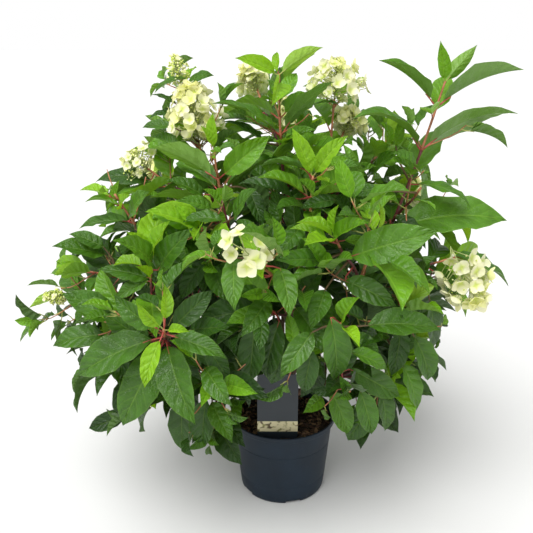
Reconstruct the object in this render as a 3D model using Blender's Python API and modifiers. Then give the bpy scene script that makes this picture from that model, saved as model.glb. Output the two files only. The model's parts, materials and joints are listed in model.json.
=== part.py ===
"""A panicle hydrangea shrub in its nursery pot.

Metres, +Z up, the origin at the centre of the pot's underside. Boughs rise from a short stool inside the
crown. Each one carries a mass: a leader with side shoots, and pairs of leaves that stand crosswise on
them. Every leaf keeps to its mass's own space and clear of whatever grew before it.
"""

import math
import random
from dataclasses import dataclass

import bmesh
import bpy
import numpy as np
from mathutils import Quaternion, Vector
from mathutils.bvhtree import BVHTree
from mathutils.geometry import intersect_point_line

GAP = 0.0003  # between solids that touch

# Pot, soil and tag
POT_HEIGHT = 0.175
RIM_RADIUS = 0.115
RIM_HEIGHT = 0.012
RIM_LIP = 0.0065
BASE_RADIUS = 0.0925
BASE_CORNER = 0.008
WALL = 0.0022
TURN_STEPS = 32
DRAIN_COUNT = 5
DRAIN_WIDTH = 0.034
DRAIN_HEIGHT = 0.009
DRAIN_TURN = -76.0  # degrees, the slot nearest the front
SOIL_TOP = 0.161
TAG_SIZE = (0.084, 0.0016, 0.148)
TAG_PLACE = (-0.013, -0.087)
TAG_CORNER = 0.006
STAKE_WIDTH = 0.016
STAKE_DEPTH = 0.045
POT_COLOUR = (0.020, 0.030, 0.045)
SOIL_COLOUR = (0.045, 0.025, 0.014)
TAG_COLOUR = (0.030, 0.036, 0.040)

# Stool and boughs
STOOL_PROFILE = ((0.0, 0.024), (0.007, 0.0195), (0.018, 0.0175), (0.030, 0.0180))  # height, radius
HEAD_HEIGHT = 0.044
HEAD_RADIUS = 0.023
BOUGH_RADII = (0.0046, 0.0036)
BOUGH_SHARE = 0.30  # of the way from the stool to the leader's tip
BOUGH_SPREAD = 27.0  # degrees between neighbouring boughs where they leave the head
SPREAD_ROUNDS = 200
SPREAD_STEP = 0.4
STEEPER = Vector((1, 1, 1.5))  # a bough leaves the head more steeply than its tip lies
LEAST_RISE = 0.16  # of a bough's first direction
BARK_COLOUR = (0.14, 0.08, 0.05)

# Shoots
LEADER_RADII = (0.0042, 0.0020)
SHOOT_RADII = (0.0031, 0.0019)
STEM_STEP = 0.070
SHORTEST_STEP = 0.004
CURVE_PULL = 0.36  # how long a shoot keeps its first and last directions, of its length
KEPT_LEAN = 0.4  # how much of its heading's lean a growing tip keeps
LOW_LEAN = 2.6  # what a level heading adds to that
MOST_LEAN = 1.1
TIP_RISE = 0.06
BRANCH_PLACES = 15
BRANCH_STRETCH = (BOUGH_SHARE + 0.04, 0.90)  # where a leader may branch, of its way
EASY_TURN = math.radians(38)
TURN_COST = 0.20  # metres of extra way that a radian past the easy turn is worth
BARE_LEADER = 0.030  # a shoot's foot that carries no leaves
BARE_SHOOT = 0.035
CROWN_CENTRE = Vector((-0.02, 0.0, 0.43))
CROWN_RADII = Vector((0.40, 0.36, 0.37))
FILL_TIPS = 64
FILL_LOWEST = 0.27
FILL_SPACING = 0.105  # a filling shoot's tip stays this far from every other tip
FILL_DEPTH = 1.62  # how far down the crown they go, in its half heights
FILL_REACH = (0.84, 0.10)  # of the crown's radii: the middle and the swing
TURN_PER_SHOOT = 137.5  # degrees
VIGOUR_SWING = 0.07

# Leaves, from the shoot's tip down
INTERNODES = (0.014, 0.048, 0.060, 0.066, 0.068, 0.068, 0.068)
LEAF_GROWTH = (0.50, 0.80, 0.96, 1.04, 1.06, 1.04)  # length
LEAF_SPREAD = (24, 50, 64, 76, 86, 92)  # degrees from the stem
LEAF_BEND = (12, 20, 28, 36, 46, 54)  # degrees from the blade's foot to its tip
MOST_PAIRS = 8
TIP_BARE = 0.004
PAIR_STEP = 0.0011  # the second leaf of a pair stands this much higher
LEAF_LENGTH = 0.138
LEAF_WIDTH = 0.53  # of its length
AIMED_WIDTH = 0.45
LEAF_THICKNESS = 0.0125  # of its length
PETIOLE = 0.020
PETIOLE_RADIUS = 0.0010
ROOT_DEPTH = 0.0004  # how far a petiole starts behind its stem's middle
BLADE_STATIONS = ((0.34, 1.0), (0.70, 0.66))  # share of the length, share of the width
FOLD = 0.22
LIGHT_PULL = 0.32  # how far a leaf turns outwards
SKY_PULL = 0.30  # the upward share of that
TURN_JITTER = 0.16  # radians round the stem
ROLL_JITTER = 0.30  # radians round the leaf's own length
SPREAD_JITTER = 9.0  # degrees
SHADE = 0.86  # no leaf lies deeper in the crown than this share of its reach
LOWEST_LEAF = 0.180
UNDERSIDE_RISE = 0.22
VIEW_SLOPE = 0.56
SOIL_SHOWN = 0.064  # to each side, that no leaf hides of the soil
EYE = Vector((-0.036, -1.35, 0.95))  # where a viewer stands before the shrub
OPEN_SKY = (  # rounds between the shoots that leaves stay out of, seen from there: x and z at y = 0, radius
    (-0.27, 0.93, 0.044), (-0.52, 0.53, 0.043), (-0.42, 0.72, 0.046), (0.39, 0.72, 0.046),
    (-0.06, 0.97, 0.042), (0.39, 0.32, 0.049), (-0.44, 0.64, 0.046), (-0.32, 0.79, 0.043),
    (0.24, 0.95, 0.032), (-0.12, 0.92, 0.028), (0.33, 0.73, 0.030), (0.20, 0.87, 0.037),
    (0.40, 0.95, 0.042), (-0.47, 0.28, 0.029), (0.31, 0.66, 0.019), (-0.39, 0.23, 0.024),
    (-0.15, 0.94, 0.026), (-0.10, 0.94, 0.024), (-0.39, 0.04, 0.043),
    (-0.30, 0.01, 0.046), (-0.21, -0.00, 0.048), (-0.14, 0.02, 0.034),
    (0.16, 0.04, 0.041), (0.27, 0.07, 0.045), (0.35, 0.14, 0.040),
    (0.40, 0.23, 0.044), (-0.19, 0.96, 0.026), (-0.24, 0.95, 0.030),
    (-0.28, 0.14, 0.028), (0.42, 0.67, 0.041), (0.00, 0.97, 0.037), (0.33, 0.85, 0.018),
    (-0.38, 0.75, 0.046), (0.41, 0.58, 0.027),
)
GIVEN_STALK = 0.085  # the longest stalk of a leaf with a given place
STALK_AHEAD = 1.8  # the smaller, the rather a stalk runs the way its blade does
GIVEN_TURN = -0.6  # cosine of the sharpest turn from stalk to blade
GIVEN_BEND = 26.0  # degrees
GIVEN_STEP = 0.009  # how far a new try moves such a leaf to or from the viewer
SHOWN_WIDTH = 0.30  # of a given leaf's width, to each side of its midrib, that other leaves don't hide
SHOWN_BLOSSOM = 0.80  # of a blossom's radius, likewise
SHOWN_BACK = 0.17  # a blossom further back is seen from behind only
SHOWN_AHEAD = 0.004
CLEARANCE = 0.0011
SPACE_OVERLAP = 0.045  # how far a mass may reach among its neighbours' shoots
TRIES = 7
TRY_TURN = 0.22  # radians that each new try turns the leaf further
TRY_SPREAD = 6.0
TRY_SHRINK = 0.05
LEAF_COLOUR = (0.07, 0.19, 0.03)

# Blossom
CONE = ((-0.04, 0.10), (0.10, 0.80), (0.34, 1.0), (0.62, 0.80), (0.86, 0.46))  # height and breadth
CONE_SIDES = 6
CONE_LUMPS = (0.86, 1.12)
CONE_FILL = 0.84  # of the blossom's radius, so that florets stand out of it
CONE_FLORETS = 3
OPEN_FLORETS = 7
FLORET = 0.0115
OPEN_FLORET = 0.0145
STALK_RADII = (0.0013, 0.0009)
NOD = Vector((-0.15, -0.40, -1.90))  # what a heavy blossom adds to its shoot's direction

LOOSE = -1  # the shoot number of a solid that every leaf stays clear of

# The shoots of each mass, leader first: where the tip stands, and its blossom's kind, length and radius.
# Where the pairs of its leaves stand may be given as depths under the tip, and a leaf of a pair by its own
# tip and how far its face turns to the front. A grown shoot has no young pair at its tip.
MASSES = {
    "right": (
        {
            "tip": (0.308, 0.02, 0.880), "turn": 90, "vigour": 1.2, "depths": (0.004, 0.050, 0.074, 0.138, 0.208, 0.306),
            "leaves": {
                (0, 0): (0.283, -0.010, 0.950, 2.0), (0, 1): (0.366, 0.030, 0.946, 0.0),
                (1, 0): (0.181, 0.000, 0.925, 0.0), (1, 1): (0.458, 0.040, 0.907, 0.0),
                (2, 0): (0.260, -0.090, 0.839, 0.0), (2, 1): (0.327, 0.110, 0.891, 1.0),
                (3, 0): (0.124, -0.030, 0.837, 0.0), (3, 1): (0.443, 0.000, 0.844, 0.0),
                (4, 0): (0.370, -0.040, 0.646, 0.2), (4, 1): (0.342, 0.110, 0.780, 0.5),
                (5, 0): (0.456, 0.000, 0.604, 0.0), (5, 1): (0.210, -0.030, 0.721, 1.0),
            },
        },
        {"tip": (0.335, -0.06, 0.550), "blossom": "nodding", "size": (0.105, 0.050)},
        {"tip": (0.255, -0.07, 0.690)},
        {"tip": (0.330, 0.05, 0.640)},
    ),
    "right_back": (
        {"tip": (0.105, 0.12, 0.838), "blossom": "loose", "size": (0.080, 0.062)},
        {"tip": (0.131, 0.15, 0.770), "blossom": "loose", "size": (0.050, 0.036)},
        {"tip": (0.226, 0.16, 0.735)},
    ),
    "right_front": (
        {"tip": (0.150, -0.24, 0.650)},
        {"tip": (0.085, -0.30, 0.510), "grown": True},
        {"tip": (0.215, -0.17, 0.480), "grown": True},
        {"tip": (0.080, -0.22, 0.637)},
    ),
    "right_low": (
        {"tip": (0.265, -0.04, 0.365)},
        {"tip": (0.190, -0.15, 0.330)},
    ),
    "front": (
        {
            "tip": (0.047, -0.13, 0.724), "depths": (0.003, 0.012, 0.044, 0.072),
            "leaves": {
                (0, 0): (0.007, -0.130, 0.808, 2.0), (0, 1): (0.099, -0.140, 0.803, 2.0),
                (1, 0): (0.072, -0.190, 0.721, 0.0), (1, 1): (0.025, -0.090, 0.746, 1.0),
                (2, 0): (-0.051, -0.160, 0.736, 0.3), (2, 1): (0.122, -0.180, 0.700, 0.0),
                (3, 0): (-0.025, -0.200, 0.676, 0.0), (3, 1): (0.077, -0.210, 0.661, 0.0),
            },
        },
        {"tip": (-0.050, -0.27, 0.606), "blossom": "open", "size": (0.076, 0.031)},
        {"tip": (0.010, -0.29, 0.440), "grown": True},
        {"tip": (-0.038, -0.25, 0.520), "grown": True},
    ),
    "middle": (
        {
            "tip": (-0.012, 0.05, 0.892), "turn": 90, "depths": (0.003, 0.012, 0.087, 0.121, 0.179),
            "leaves": {
                (0, 0): (-0.095, 0.040, 0.929, 0.3), (0, 1): (0.069, 0.050, 0.950, 0.3),
                (1, 0): (-0.026, -0.065, 0.853, 0.3), (1, 1): (-0.013, 0.080, 0.936, 1.0),
                (2, 0): (-0.108, 0.120, 0.839, 0.0), (2, 1): (0.056, 0.120, 0.857, 0.0),
                (3, 0): (-0.145, 0.010, 0.838, 0.0), (3, 1): (0.102, 0.020, 0.878, 0.0),
            },
        },
        {"tip": (-0.056, 0.16, 0.856), "blossom": "loose", "size": (0.066, 0.032)},
    ),
    "left_middle": (
        {
            "tip": (-0.135, -0.06, 0.760), "depths": (0.003, 0.012, 0.058, 0.085),
            "leaves": {
                (0, 0): (-0.138, -0.060, 0.829, 2.0), (0, 1): (-0.111, -0.080, 0.817, 1.0),
                (1, 0): (-0.156, -0.090, 0.807, 1.0), (1, 1): (-0.124, -0.120, 0.754, 0.0),
                (2, 0): (-0.246, -0.080, 0.768, 0.0), (2, 1): (-0.024, -0.070, 0.785, 0.5),
            },
        },
        {"tip": (-0.150, -0.18, 0.640)},
    ),
    "left_back": (
        {"tip": (-0.174, 0.06, 0.762), "blossom": "dense", "size": (0.110, 0.054)},
        {"tip": (-0.212, 0.11, 0.870), "blossom": "bud", "size": (0.060, 0.026)},
        {"tip": (-0.284, 0.08, 0.700), "blossom": "dense", "size": (0.052, 0.050)},
    ),
    "left": (
        {"tip": (-0.330, -0.04, 0.672)},
        {
            "tip": (-0.450, -0.02, 0.450), "blossom": "bud", "size": (0.045, 0.018), "depths": (0.003, 0.034, 0.052),
            "leaves": {
                (1, 0): (-0.530, -0.020, 0.432, 0.0), (1, 1): (-0.439, 0.030, 0.489, 1.0),
                (2, 0): (-0.548, -0.050, 0.395, 0.3), (2, 1): (-0.398, -0.100, 0.421, 0.0),
            },
        },
        {"tip": (-0.380, -0.09, 0.530)},
    ),
    "left_front": (
        {"tip": (-0.300, -0.20, 0.480)},
        {
            "tip": (-0.201, -0.33, 0.512), "depths": (0.003, 0.012, 0.032, 0.056, 0.096),
            "leaves": {
                (0, 0): (-0.240, -0.350, 0.565, 1.0), (0, 1): (-0.155, -0.360, 0.524, 1.0),
                (1, 0): (-0.194, -0.310, 0.584, 2.0), (1, 1): (-0.231, -0.370, 0.427, 1.5),
                (2, 0): (-0.099, -0.350, 0.468, 0.7), (2, 1): (-0.285, -0.310, 0.566, 1.0),
                (3, 0): (-0.364, -0.300, 0.401, 0.7), (3, 1): (-0.121, -0.260, 0.554, 1.0),
                (4, 0): (-0.297, -0.310, 0.316, 1.0), (4, 1): (-0.151, -0.360, 0.352, 1.5),
            },
        },
        {"tip": (-0.125, -0.30, 0.400), "grown": True},
        {"tip": (-0.238, -0.21, 0.590)},
    ),
    "left_low": (
        {"tip": (-0.330, -0.08, 0.370)},
        {"tip": (-0.230, -0.19, 0.320)},
    ),
    "back": (
        {"tip": (0.020, 0.30, 0.735), "blossom": "dense", "size": (0.095, 0.042)},
        {"tip": (0.110, 0.35, 0.560)},
        {"tip": (-0.070, 0.36, 0.590)},
    ),
    "back_left": (
        {"tip": (-0.270, 0.24, 0.610), "blossom": "loose", "size": (0.090, 0.038)},
        {"tip": (-0.180, 0.33, 0.480)},
        {"tip": (-0.360, 0.15, 0.450)},
    ),
    "back_right": (
        {"tip": (0.270, 0.24, 0.580), "blossom": "dense", "size": (0.085, 0.038)},
        {"tip": (0.200, 0.31, 0.440)},
        {"tip": (0.350, 0.12, 0.450)},
    ),
}

# Leaves with a given place: where the blade starts and ends, and how far its face turns to the front.
GIVEN_LEAVES = (
    ((-0.089, -0.273, 0.615), (-0.087, -0.348, 0.555), 1.2), ((-0.014, -0.273, 0.597), (0.009, -0.348, 0.546), 1.2),
    ((-0.033, -0.239, 0.528), (-0.074, -0.314, 0.494), 1.2), ((-0.044, -0.283, 0.513), (-0.043, -0.334, 0.474), 1.2),
    ((0.055, -0.231, 0.598), (-0.020, -0.263, 0.605), 1.2), ((0.028, -0.154, 0.639), (-0.020, -0.218, 0.596), 1.2),
    ((0.063, -0.251, 0.551), (0.040, -0.315, 0.503), 1.2), ((0.070, -0.298, 0.519), (0.087, -0.298, 0.394), 0.6),
    ((0.039, -0.308, 0.498), (-0.014, -0.353, 0.437), 1.2), ((-0.014, -0.244, 0.490), (-0.046, -0.244, 0.376), 0.6),
    ((-0.006, -0.252, 0.472), (-0.021, -0.252, 0.360), 0.2), ((0.040, -0.298, 0.462), (0.025, -0.298, 0.375), 1.2),
    ((-0.056, -0.257, 0.489), (-0.065, -0.257, 0.374), 0.6), ((0.068, -0.203, 0.321), (0.029, -0.260, 0.324), 1.2),
    ((-0.137, -0.330, 0.444), (-0.091, -0.403, 0.417), 1.2), ((-0.137, -0.297, 0.470), (-0.093, -0.297, 0.400), 1.2),
    ((0.079, -0.220, 0.630), (0.125, -0.281, 0.679), 1.2), ((0.072, -0.224, 0.626), (0.120, -0.224, 0.612), 0.6),
    ((0.097, -0.227, 0.632), (0.145, -0.227, 0.625), 1.2), ((0.111, -0.215, 0.600), (0.244, -0.276, 0.653), 1.2),
    ((0.100, -0.225, 0.558), (0.187, -0.266, 0.530), 1.2), ((0.110, -0.212, 0.555), (0.189, -0.230, 0.527), 1.2),
    ((0.136, -0.272, 0.495), (0.263, -0.272, 0.497), 0.6), ((0.226, -0.228, 0.550), (0.285, -0.228, 0.487), 1.2),
    ((0.281, -0.099, 0.475), (0.297, -0.099, 0.347), 0.6), ((0.233, -0.196, 0.442), (0.275, -0.196, 0.344), 1.2),
    ((0.211, -0.182, 0.452), (0.199, -0.195, 0.358), 1.2), ((0.104, -0.299, 0.458), (0.174, -0.299, 0.423), 0.0),
    ((0.116, -0.216, 0.385), (0.214, -0.216, 0.326), 1.2), ((0.211, -0.213, 0.394), (0.248, -0.213, 0.298), 0.6),
    ((0.085, -0.191, 0.329), (0.125, -0.191, 0.233), 1.2), ((0.132, -0.243, 0.357), (0.160, -0.243, 0.265), 1.2),
    ((0.185, -0.150, 0.308), (0.204, -0.150, 0.210), 0.6), ((0.067, -0.207, 0.319), (0.092, -0.207, 0.253), 1.2),
    ((0.182, 0.117, 0.674), (0.229, 0.042, 0.743), 1.2), ((0.159, 0.125, 0.696), (0.166, 0.064, 0.772), 1.2),
    ((-0.280, 0.076, 0.677), (-0.398, 0.076, 0.692), 1.2), ((-0.308, -0.038, 0.618), (-0.409, -0.038, 0.606), 0.2),
    ((-0.304, -0.036, 0.627), (-0.253, -0.099, 0.696), 1.2), ((-0.235, -0.209, 0.588), (-0.273, -0.284, 0.652), 1.2),
    ((-0.354, -0.052, 0.554), (-0.448, -0.086, 0.577), 1.2), ((-0.353, -0.062, 0.571), (-0.420, -0.062, 0.604), 1.2),
    ((-0.242, -0.201, 0.555), (-0.335, -0.201, 0.574), 0.6), ((-0.244, -0.207, 0.552), (-0.308, -0.207, 0.520), 0.6),
    ((-0.226, -0.206, 0.572), (-0.162, -0.253, 0.653), 1.2), ((-0.240, -0.209, 0.562), (-0.253, -0.245, 0.592), 1.2),
    ((-0.114, -0.184, 0.656), (-0.187, -0.184, 0.662), 0.6), ((-0.156, -0.072, 0.677), (-0.219, -0.098, 0.712), 1.2),
    ((-0.281, -0.089, 0.613), (-0.236, -0.114, 0.643), 1.2), ((-0.091, -0.209, 0.668), (-0.053, -0.270, 0.732), 1.2),
    ((0.010, -0.135, 0.685), (-0.087, -0.135, 0.717), 0.2), ((0.032, -0.137, 0.737), (-0.051, -0.137, 0.753), 0.0),
    ((-0.045, 0.038, 0.765), (-0.124, 0.038, 0.808), 0.6), ((-0.224, 0.040, 0.791), (-0.286, 0.040, 0.792), 1.2),
    ((-0.221, 0.089, 0.817), (-0.274, 0.058, 0.808), 1.2), ((-0.196, 0.100, 0.874), (-0.141, 0.053, 0.890), 1.2),
    ((-0.138, 0.020, 0.844), (-0.096, 0.020, 0.889), 1.2), ((-0.220, 0.084, 0.832), (-0.270, 0.084, 0.855), 0.6),
    ((-0.200, 0.101, 0.880), (-0.270, 0.101, 0.858), 0.2), ((-0.358, -0.088, 0.397), (-0.474, -0.088, 0.384), 1.2),
    ((-0.330, -0.199, 0.439), (-0.359, -0.250, 0.396), 1.2), ((-0.246, -0.229, 0.445), (-0.317, -0.270, 0.518), 1.2),
    ((-0.195, -0.182, 0.308), (-0.201, -0.182, 0.187), 0.6), ((-0.144, -0.255, 0.348), (-0.152, -0.255, 0.239), 0.6),
    ((-0.133, -0.261, 0.343), (-0.097, -0.320, 0.295), 1.2), ((0.217, 0.112, 0.741), (0.203, 0.075, 0.797), 1.2),
    ((0.217, 0.004, 0.758), (0.222, 0.004, 0.814), 1.2), ((0.276, 0.018, 0.781), (0.218, -0.013, 0.753), 1.2),
    ((0.170, -0.097, 0.692), (0.102, -0.097, 0.686), 1.2), ((0.334, -0.058, 0.552), (0.456, -0.058, 0.500), 0.2),
    ((0.113, 0.115, 0.829), (0.059, 0.115, 0.831), 0.6), ((-0.325, -0.041, 0.650), (-0.389, -0.041, 0.666), 0.2),
    ((-0.319, -0.042, 0.643), (-0.290, -0.089, 0.682), 1.2), ((-0.329, -0.038, 0.654), (-0.320, -0.038, 0.699), 0.6),
    ((-0.193, -0.195, 0.686), (-0.144, -0.195, 0.605), 1.2), ((-0.169, -0.245, 0.475), (-0.099, -0.307, 0.502), 1.2),
    ((0.026, -0.153, 0.496), (0.060, -0.218, 0.576), 1.2), ((-0.067, -0.087, 0.689), (-0.044, -0.135, 0.629), 1.2),
    ((-0.147, -0.168, 0.578), (-0.195, -0.168, 0.501), 1.2), ((0.220, -0.012, 0.623), (0.276, -0.051, 0.562), 1.2),
    ((0.085, -0.156, 0.686), (0.022, -0.184, 0.678), 1.2),
)


@dataclass
class Shoot:
    mass: str
    points: list
    leader: bool
    bare: float  # the length at its foot that carries no leaves
    phase: float
    vigour: float  # of its leaves and of the spaces between them
    seed: int
    entry: dict

    @property
    def has_tip_leaves(self):
        """Whether the youngest pair stands here: not under a blossom, nor on a filling or a grown shoot."""
        return bool(self.entry) and "blossom" not in self.entry and "grown" not in self.entry


@dataclass
class Solid:
    mass: str
    shoot: int
    tree: BVHTree
    low: Vector
    high: Vector


def curve_points(start, start_direction, end, end_direction):
    """A curve between two places and directions, as a line with a point about every STEM_STEP."""
    pull = CURVE_PULL * (end - start).length
    near = start + start_direction * pull
    far = end - end_direction * pull
    count = max(3, round(1.05 * (end - start).length / STEM_STEP))
    points = []
    for i in range(count + 1):
        t = i / count
        s = 1 - t
        points.append(s**3 * start + 3 * s * s * t * near + 3 * s * t * t * far + t**3 * end)
    return points


def length_of(points):
    return sum((b - a).length for a, b in zip(points, points[1:]))


def point_at(points, distance):
    """The point this far along the line, and the line's direction there."""
    for a, b in zip(points, points[1:]):
        step = (b - a).length
        if distance <= step:
            break
        distance -= step
    else:
        distance = step
    direction = (b - a).normalized()
    return a + direction * distance, direction


def stretch(points, start, end):
    """The part of a line between two distances: its places and the directions there."""
    kept = [point_at(points, start)[0]]
    passed = 0.0
    for a, b in zip(points, points[1:]):
        passed += (b - a).length
        if start + SHORTEST_STEP < passed < end - SHORTEST_STEP:
            kept.append(b)
    kept.append(point_at(points, end)[0])
    ways = [(b - a).normalized() for a, b in zip(kept, kept[1:])]
    ways = [ways[0]] + [(a + b).normalized() for a, b in zip(ways, ways[1:])] + [ways[-1]]
    return list(zip(kept, ways))


def rings_along(places, radii, sides):
    """A ring of points round each place, carried along the line without twisting."""
    side = places[0][1].orthogonal().normalized()
    rings = []
    for i, (centre, direction) in enumerate(places):
        side = (side - direction * side.dot(direction)).normalized()
        other = direction.cross(side)
        radius = radii[0] + (radii[1] - radii[0]) * i / (len(places) - 1)
        turns = [math.tau * k / sides for k in range(sides)]
        rings.append([centre + (side * math.cos(a) + other * math.sin(a)) * radius for a in turns])
    return rings


def bridge(first, second):
    """Triangles between two rings that may have unlike counts, given as lists of vertex numbers."""
    i, j, faces = 0, 0, []
    while i < len(first) or j < len(second):
        a, b = first[i % len(first)], second[j % len(second)]
        if j == len(second) or (i < len(first) and (i + 1) * len(second) <= (j + 1) * len(first)):
            i += 1
            faces.append((a, first[i % len(first)], b))
        else:
            j += 1
            faces.append((a, second[j % len(second)], b))
    return faces


def loft(rings, tip=None, root=None):
    """Points and faces of a closed surface through the rings; each end is a cap, or comes to a point."""
    points = [p for ring in rings for p in ring]
    numbered, first = [], 0
    for ring in rings:
        numbered.append(list(range(first, first + len(ring))))
        first += len(ring)
    faces = []
    for a, b in zip(numbered, numbered[1:]):
        faces += bridge(a, b)
    for ring, end in ((numbered[0][::-1], root), (numbered[-1], tip)):
        if end is None:
            faces.append(tuple(ring))
        else:
            points.append(end)
            faces += [(a, b, len(points) - 1) for a, b in zip(ring, ring[1:] + ring[:1])]
    return points, faces


def start_directions(tips):
    """The way each bough leaves the head: towards its tip, then pushed apart until all have room."""
    origin = Vector((0, 0, SOIL_TOP + HEAD_HEIGHT))
    ways = [((tip - origin) * STEEPER).normalized() for tip in tips]
    room = math.radians(BOUGH_SPREAD)
    for _ in range(SPREAD_ROUNDS):
        for i, way in enumerate(ways):
            push = Vector()
            for j, other in enumerate(ways):
                if i != j and way.angle(other) < room:
                    push += (way - other).normalized() * (room - way.angle(other))
            moved = way + push * SPREAD_STEP
            moved.z = max(moved.z, LEAST_RISE)
            ways[i] = moved.normalized()
    return ways


def upright(direction):
    """The same heading, turned up as a tip turns to the light; a low shoot keeps more of its lean."""
    steep = abs(direction.z) / direction.length
    share = min(MOST_LEAN, KEPT_LEAN + LOW_LEAN * (1 - steep))
    return Vector((direction.x * share, direction.y * share, abs(direction.z) + TIP_RISE)).normalized()


def side_shoot(leader, tip):
    """A curve to the tip from where the leader offers it the easiest branch."""
    whole = length_of(leader.points)
    first, last = BRANCH_STRETCH
    best = None
    for i in range(1, BRANCH_PLACES):
        distance = whole * (first + (last - first) * i / BRANCH_PLACES)
        place, direction = point_at(leader.points, distance)
        way = tip - place
        cost = way.length + TURN_COST * max(0, direction.angle(way) - EASY_TURN)
        if best is None or cost < best[0]:
            best = (cost, place, direction, way)
    _, place, direction, way = best
    return curve_points(place, (direction + way.normalized()).normalized(), tip, upright(way))


def fill_tips(taken):
    """Tips spread evenly over the crown by the golden angle, where no other tip stands near."""
    middle, swing = FILL_REACH
    found = []
    for i in range(FILL_TIPS):
        up = 1.0 - FILL_DEPTH * (i + 0.5) / FILL_TIPS
        turn = i * math.pi * (3 - math.sqrt(5))
        flat = math.sqrt(1 - up * up)
        way = Vector((flat * math.cos(turn), flat * math.sin(turn), up))
        tip = CROWN_CENTRE + way * CROWN_RADII * (middle + swing * math.sin(7.3 * i))
        tip.z = max(tip.z, FILL_LOWEST)
        if not hides_pot(tip) and all((tip - other).length > FILL_SPACING for other in taken + found):
            found.append(tip)
    return found


def grow_shoots():
    leaders = {name: Vector(shoots[0]["tip"]) for name, shoots in MASSES.items()}
    head = Vector((0, 0, SOIL_TOP + HEAD_HEIGHT))
    shoots = []

    def add(mass, points, leader, bare, entry):
        number = len(shoots)
        phase = math.radians(entry.get("turn", TURN_PER_SHOOT * number))
        vigour = entry.get("vigour", 1.0 + VIGOUR_SWING * math.sin(1.7 * number))
        shoots.append(Shoot(mass, points, leader, bare, phase, vigour, 1000 + number, entry))

    for (name, tip), way in zip(leaders.items(), start_directions(list(leaders.values()))):
        start = head + way * (HEAD_RADIUS + GAP)
        points = curve_points(start, way, tip, upright(tip - head))
        add(name, points, True, length_of(points) * BOUGH_SHARE + BARE_LEADER, MASSES[name][0])
    by_name = {shoot.mass: shoot for shoot in shoots}
    for name, entries in MASSES.items():
        for entry in entries[1:]:
            add(name, side_shoot(by_name[name], Vector(entry["tip"])), False, BARE_SHOOT, entry)
    named = [shoot.points[-1] for shoot in shoots]
    for tip in fill_tips(named):
        near = min(by_name.values(), key=lambda leader: min((p - tip).length for p in leader.points[3:]))
        add(near.mass, side_shoot(near, tip), False, BARE_SHOOT, {})
    return shoots


def node_depth(shoot, number):
    """How far under the shoot's tip a pair of leaves stands."""
    given = shoot.entry.get("depths", (TIP_BARE,))
    if number < len(given):
        return given[number]
    return given[-1] + sum(INTERNODES[len(given) - 1 : number]) * shoot.vigour


def aimed(leaf, target):
    """The leaf turned and drawn out so that its tip comes to a given point."""
    x, y, z, front = target
    chord, bend = Vector((x, y, z)) - leaf["foot"], leaf["bend"]
    ahead = chord.normalized()
    face = leaf["face"] - Vector((0, front, 0))
    face = (face - ahead * face.dot(ahead)).normalized()
    length = (chord.length - leaf["stalk"].length) * (bend / 2) / math.sin(bend / 2)
    way = ahead * math.cos(bend / 2) + face * math.sin(bend / 2)
    return {
        **leaf,
        "way": way,
        "stalk": way * leaf["stalk"].length,
        "face": face * math.cos(bend / 2) - ahead * math.sin(bend / 2),
        "width": length * AIMED_WIDTH,
        "length": length,
    }


def leaf_frame(shoot, number, side, attempt):
    """Where a leaf stands and how it lies: a dictionary of its foot, directions and sizes."""
    dice = random.Random(shoot.seed * 1009 + number * 31 + side * 7 + attempt)
    age = min(number, len(LEAF_GROWTH) - 1)
    whole = length_of(shoot.points)
    distance = whole - node_depth(shoot, number)
    foot, stem = point_at(shoot.points, distance)
    foot = foot + stem * (PAIR_STEP * side + 0.0004 * attempt)
    turn = shoot.phase + number * math.pi / 2 + side * math.pi + dice.uniform(-TURN_JITTER, TURN_JITTER)
    turn += attempt * TRY_TURN * (-1) ** attempt
    across = (Vector((1, 0, 0)) - stem * stem.x).normalized()
    out = Quaternion(stem, turn) @ across
    wider = dice.uniform(-SPREAD_JITTER, SPREAD_JITTER) + attempt * dice.uniform(-TRY_SPREAD, TRY_SPREAD)
    spread = math.radians(LEAF_SPREAD[age] + wider)
    way = stem * math.cos(spread) + out * math.sin(spread)
    light = (foot - CROWN_CENTRE) * Vector((1, 1, 0.5))
    light = light.normalized() + Vector((0, 0, SKY_PULL))
    way = (way + light * LIGHT_PULL * min(1.0, age / 2)).normalized()
    face = stem + Vector((0, 0, 0.7 * min(age, 3))) + light * 0.3
    face = (face - way * face.dot(way)).normalized()
    face = Quaternion(way, dice.uniform(-ROLL_JITTER, ROLL_JITTER)) @ face
    size = shoot.vigour * LEAF_LENGTH * LEAF_GROWTH[age] * dice.uniform(0.88, 1.12)
    size *= 1 - TRY_SHRINK * attempt
    leaf = {
        "foot": foot,
        "way": way,
        "face": face,
        "length": size,
        "width": size * LEAF_WIDTH * dice.uniform(0.92, 1.08),
        "bend": math.radians(LEAF_BEND[age] * dice.uniform(0.75, 1.25)),
        "stalk": way * (PETIOLE * dice.uniform(0.8, 1.2) * (0.5 if age == 0 else 1.0)),
    }
    target = shoot.entry.get("leaves", {}).get((number, side))
    return aimed(leaf, target) if target and attempt == 0 else leaf


def nearest_stem(shoots, standing, point, ahead):
    """The shoot that passes nearest to a blade's foot, best behind it, and where it does."""
    best = (math.inf, None, None)
    for index in standing:
        shoot, walked = shoots[index], 0.0
        for a, b in zip(shoot.points, shoot.points[1:]):
            step = (b - a).length
            first = (shoot.bare - 0.02 - walked) / step
            walked += step
            if first < 1.0:
                share = intersect_point_line(point, a, b)[1]
                last = 1.0 - (TIP_BARE / step if b is shoot.points[-1] else 0.0)
                place = a.lerp(b, max(0.0, first, min(last, share)))
                way = point - place
                best = min(best, (STALK_AHEAD * way.length - way.dot(ahead), index, place), key=lambda found: found[0])
    return best


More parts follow.
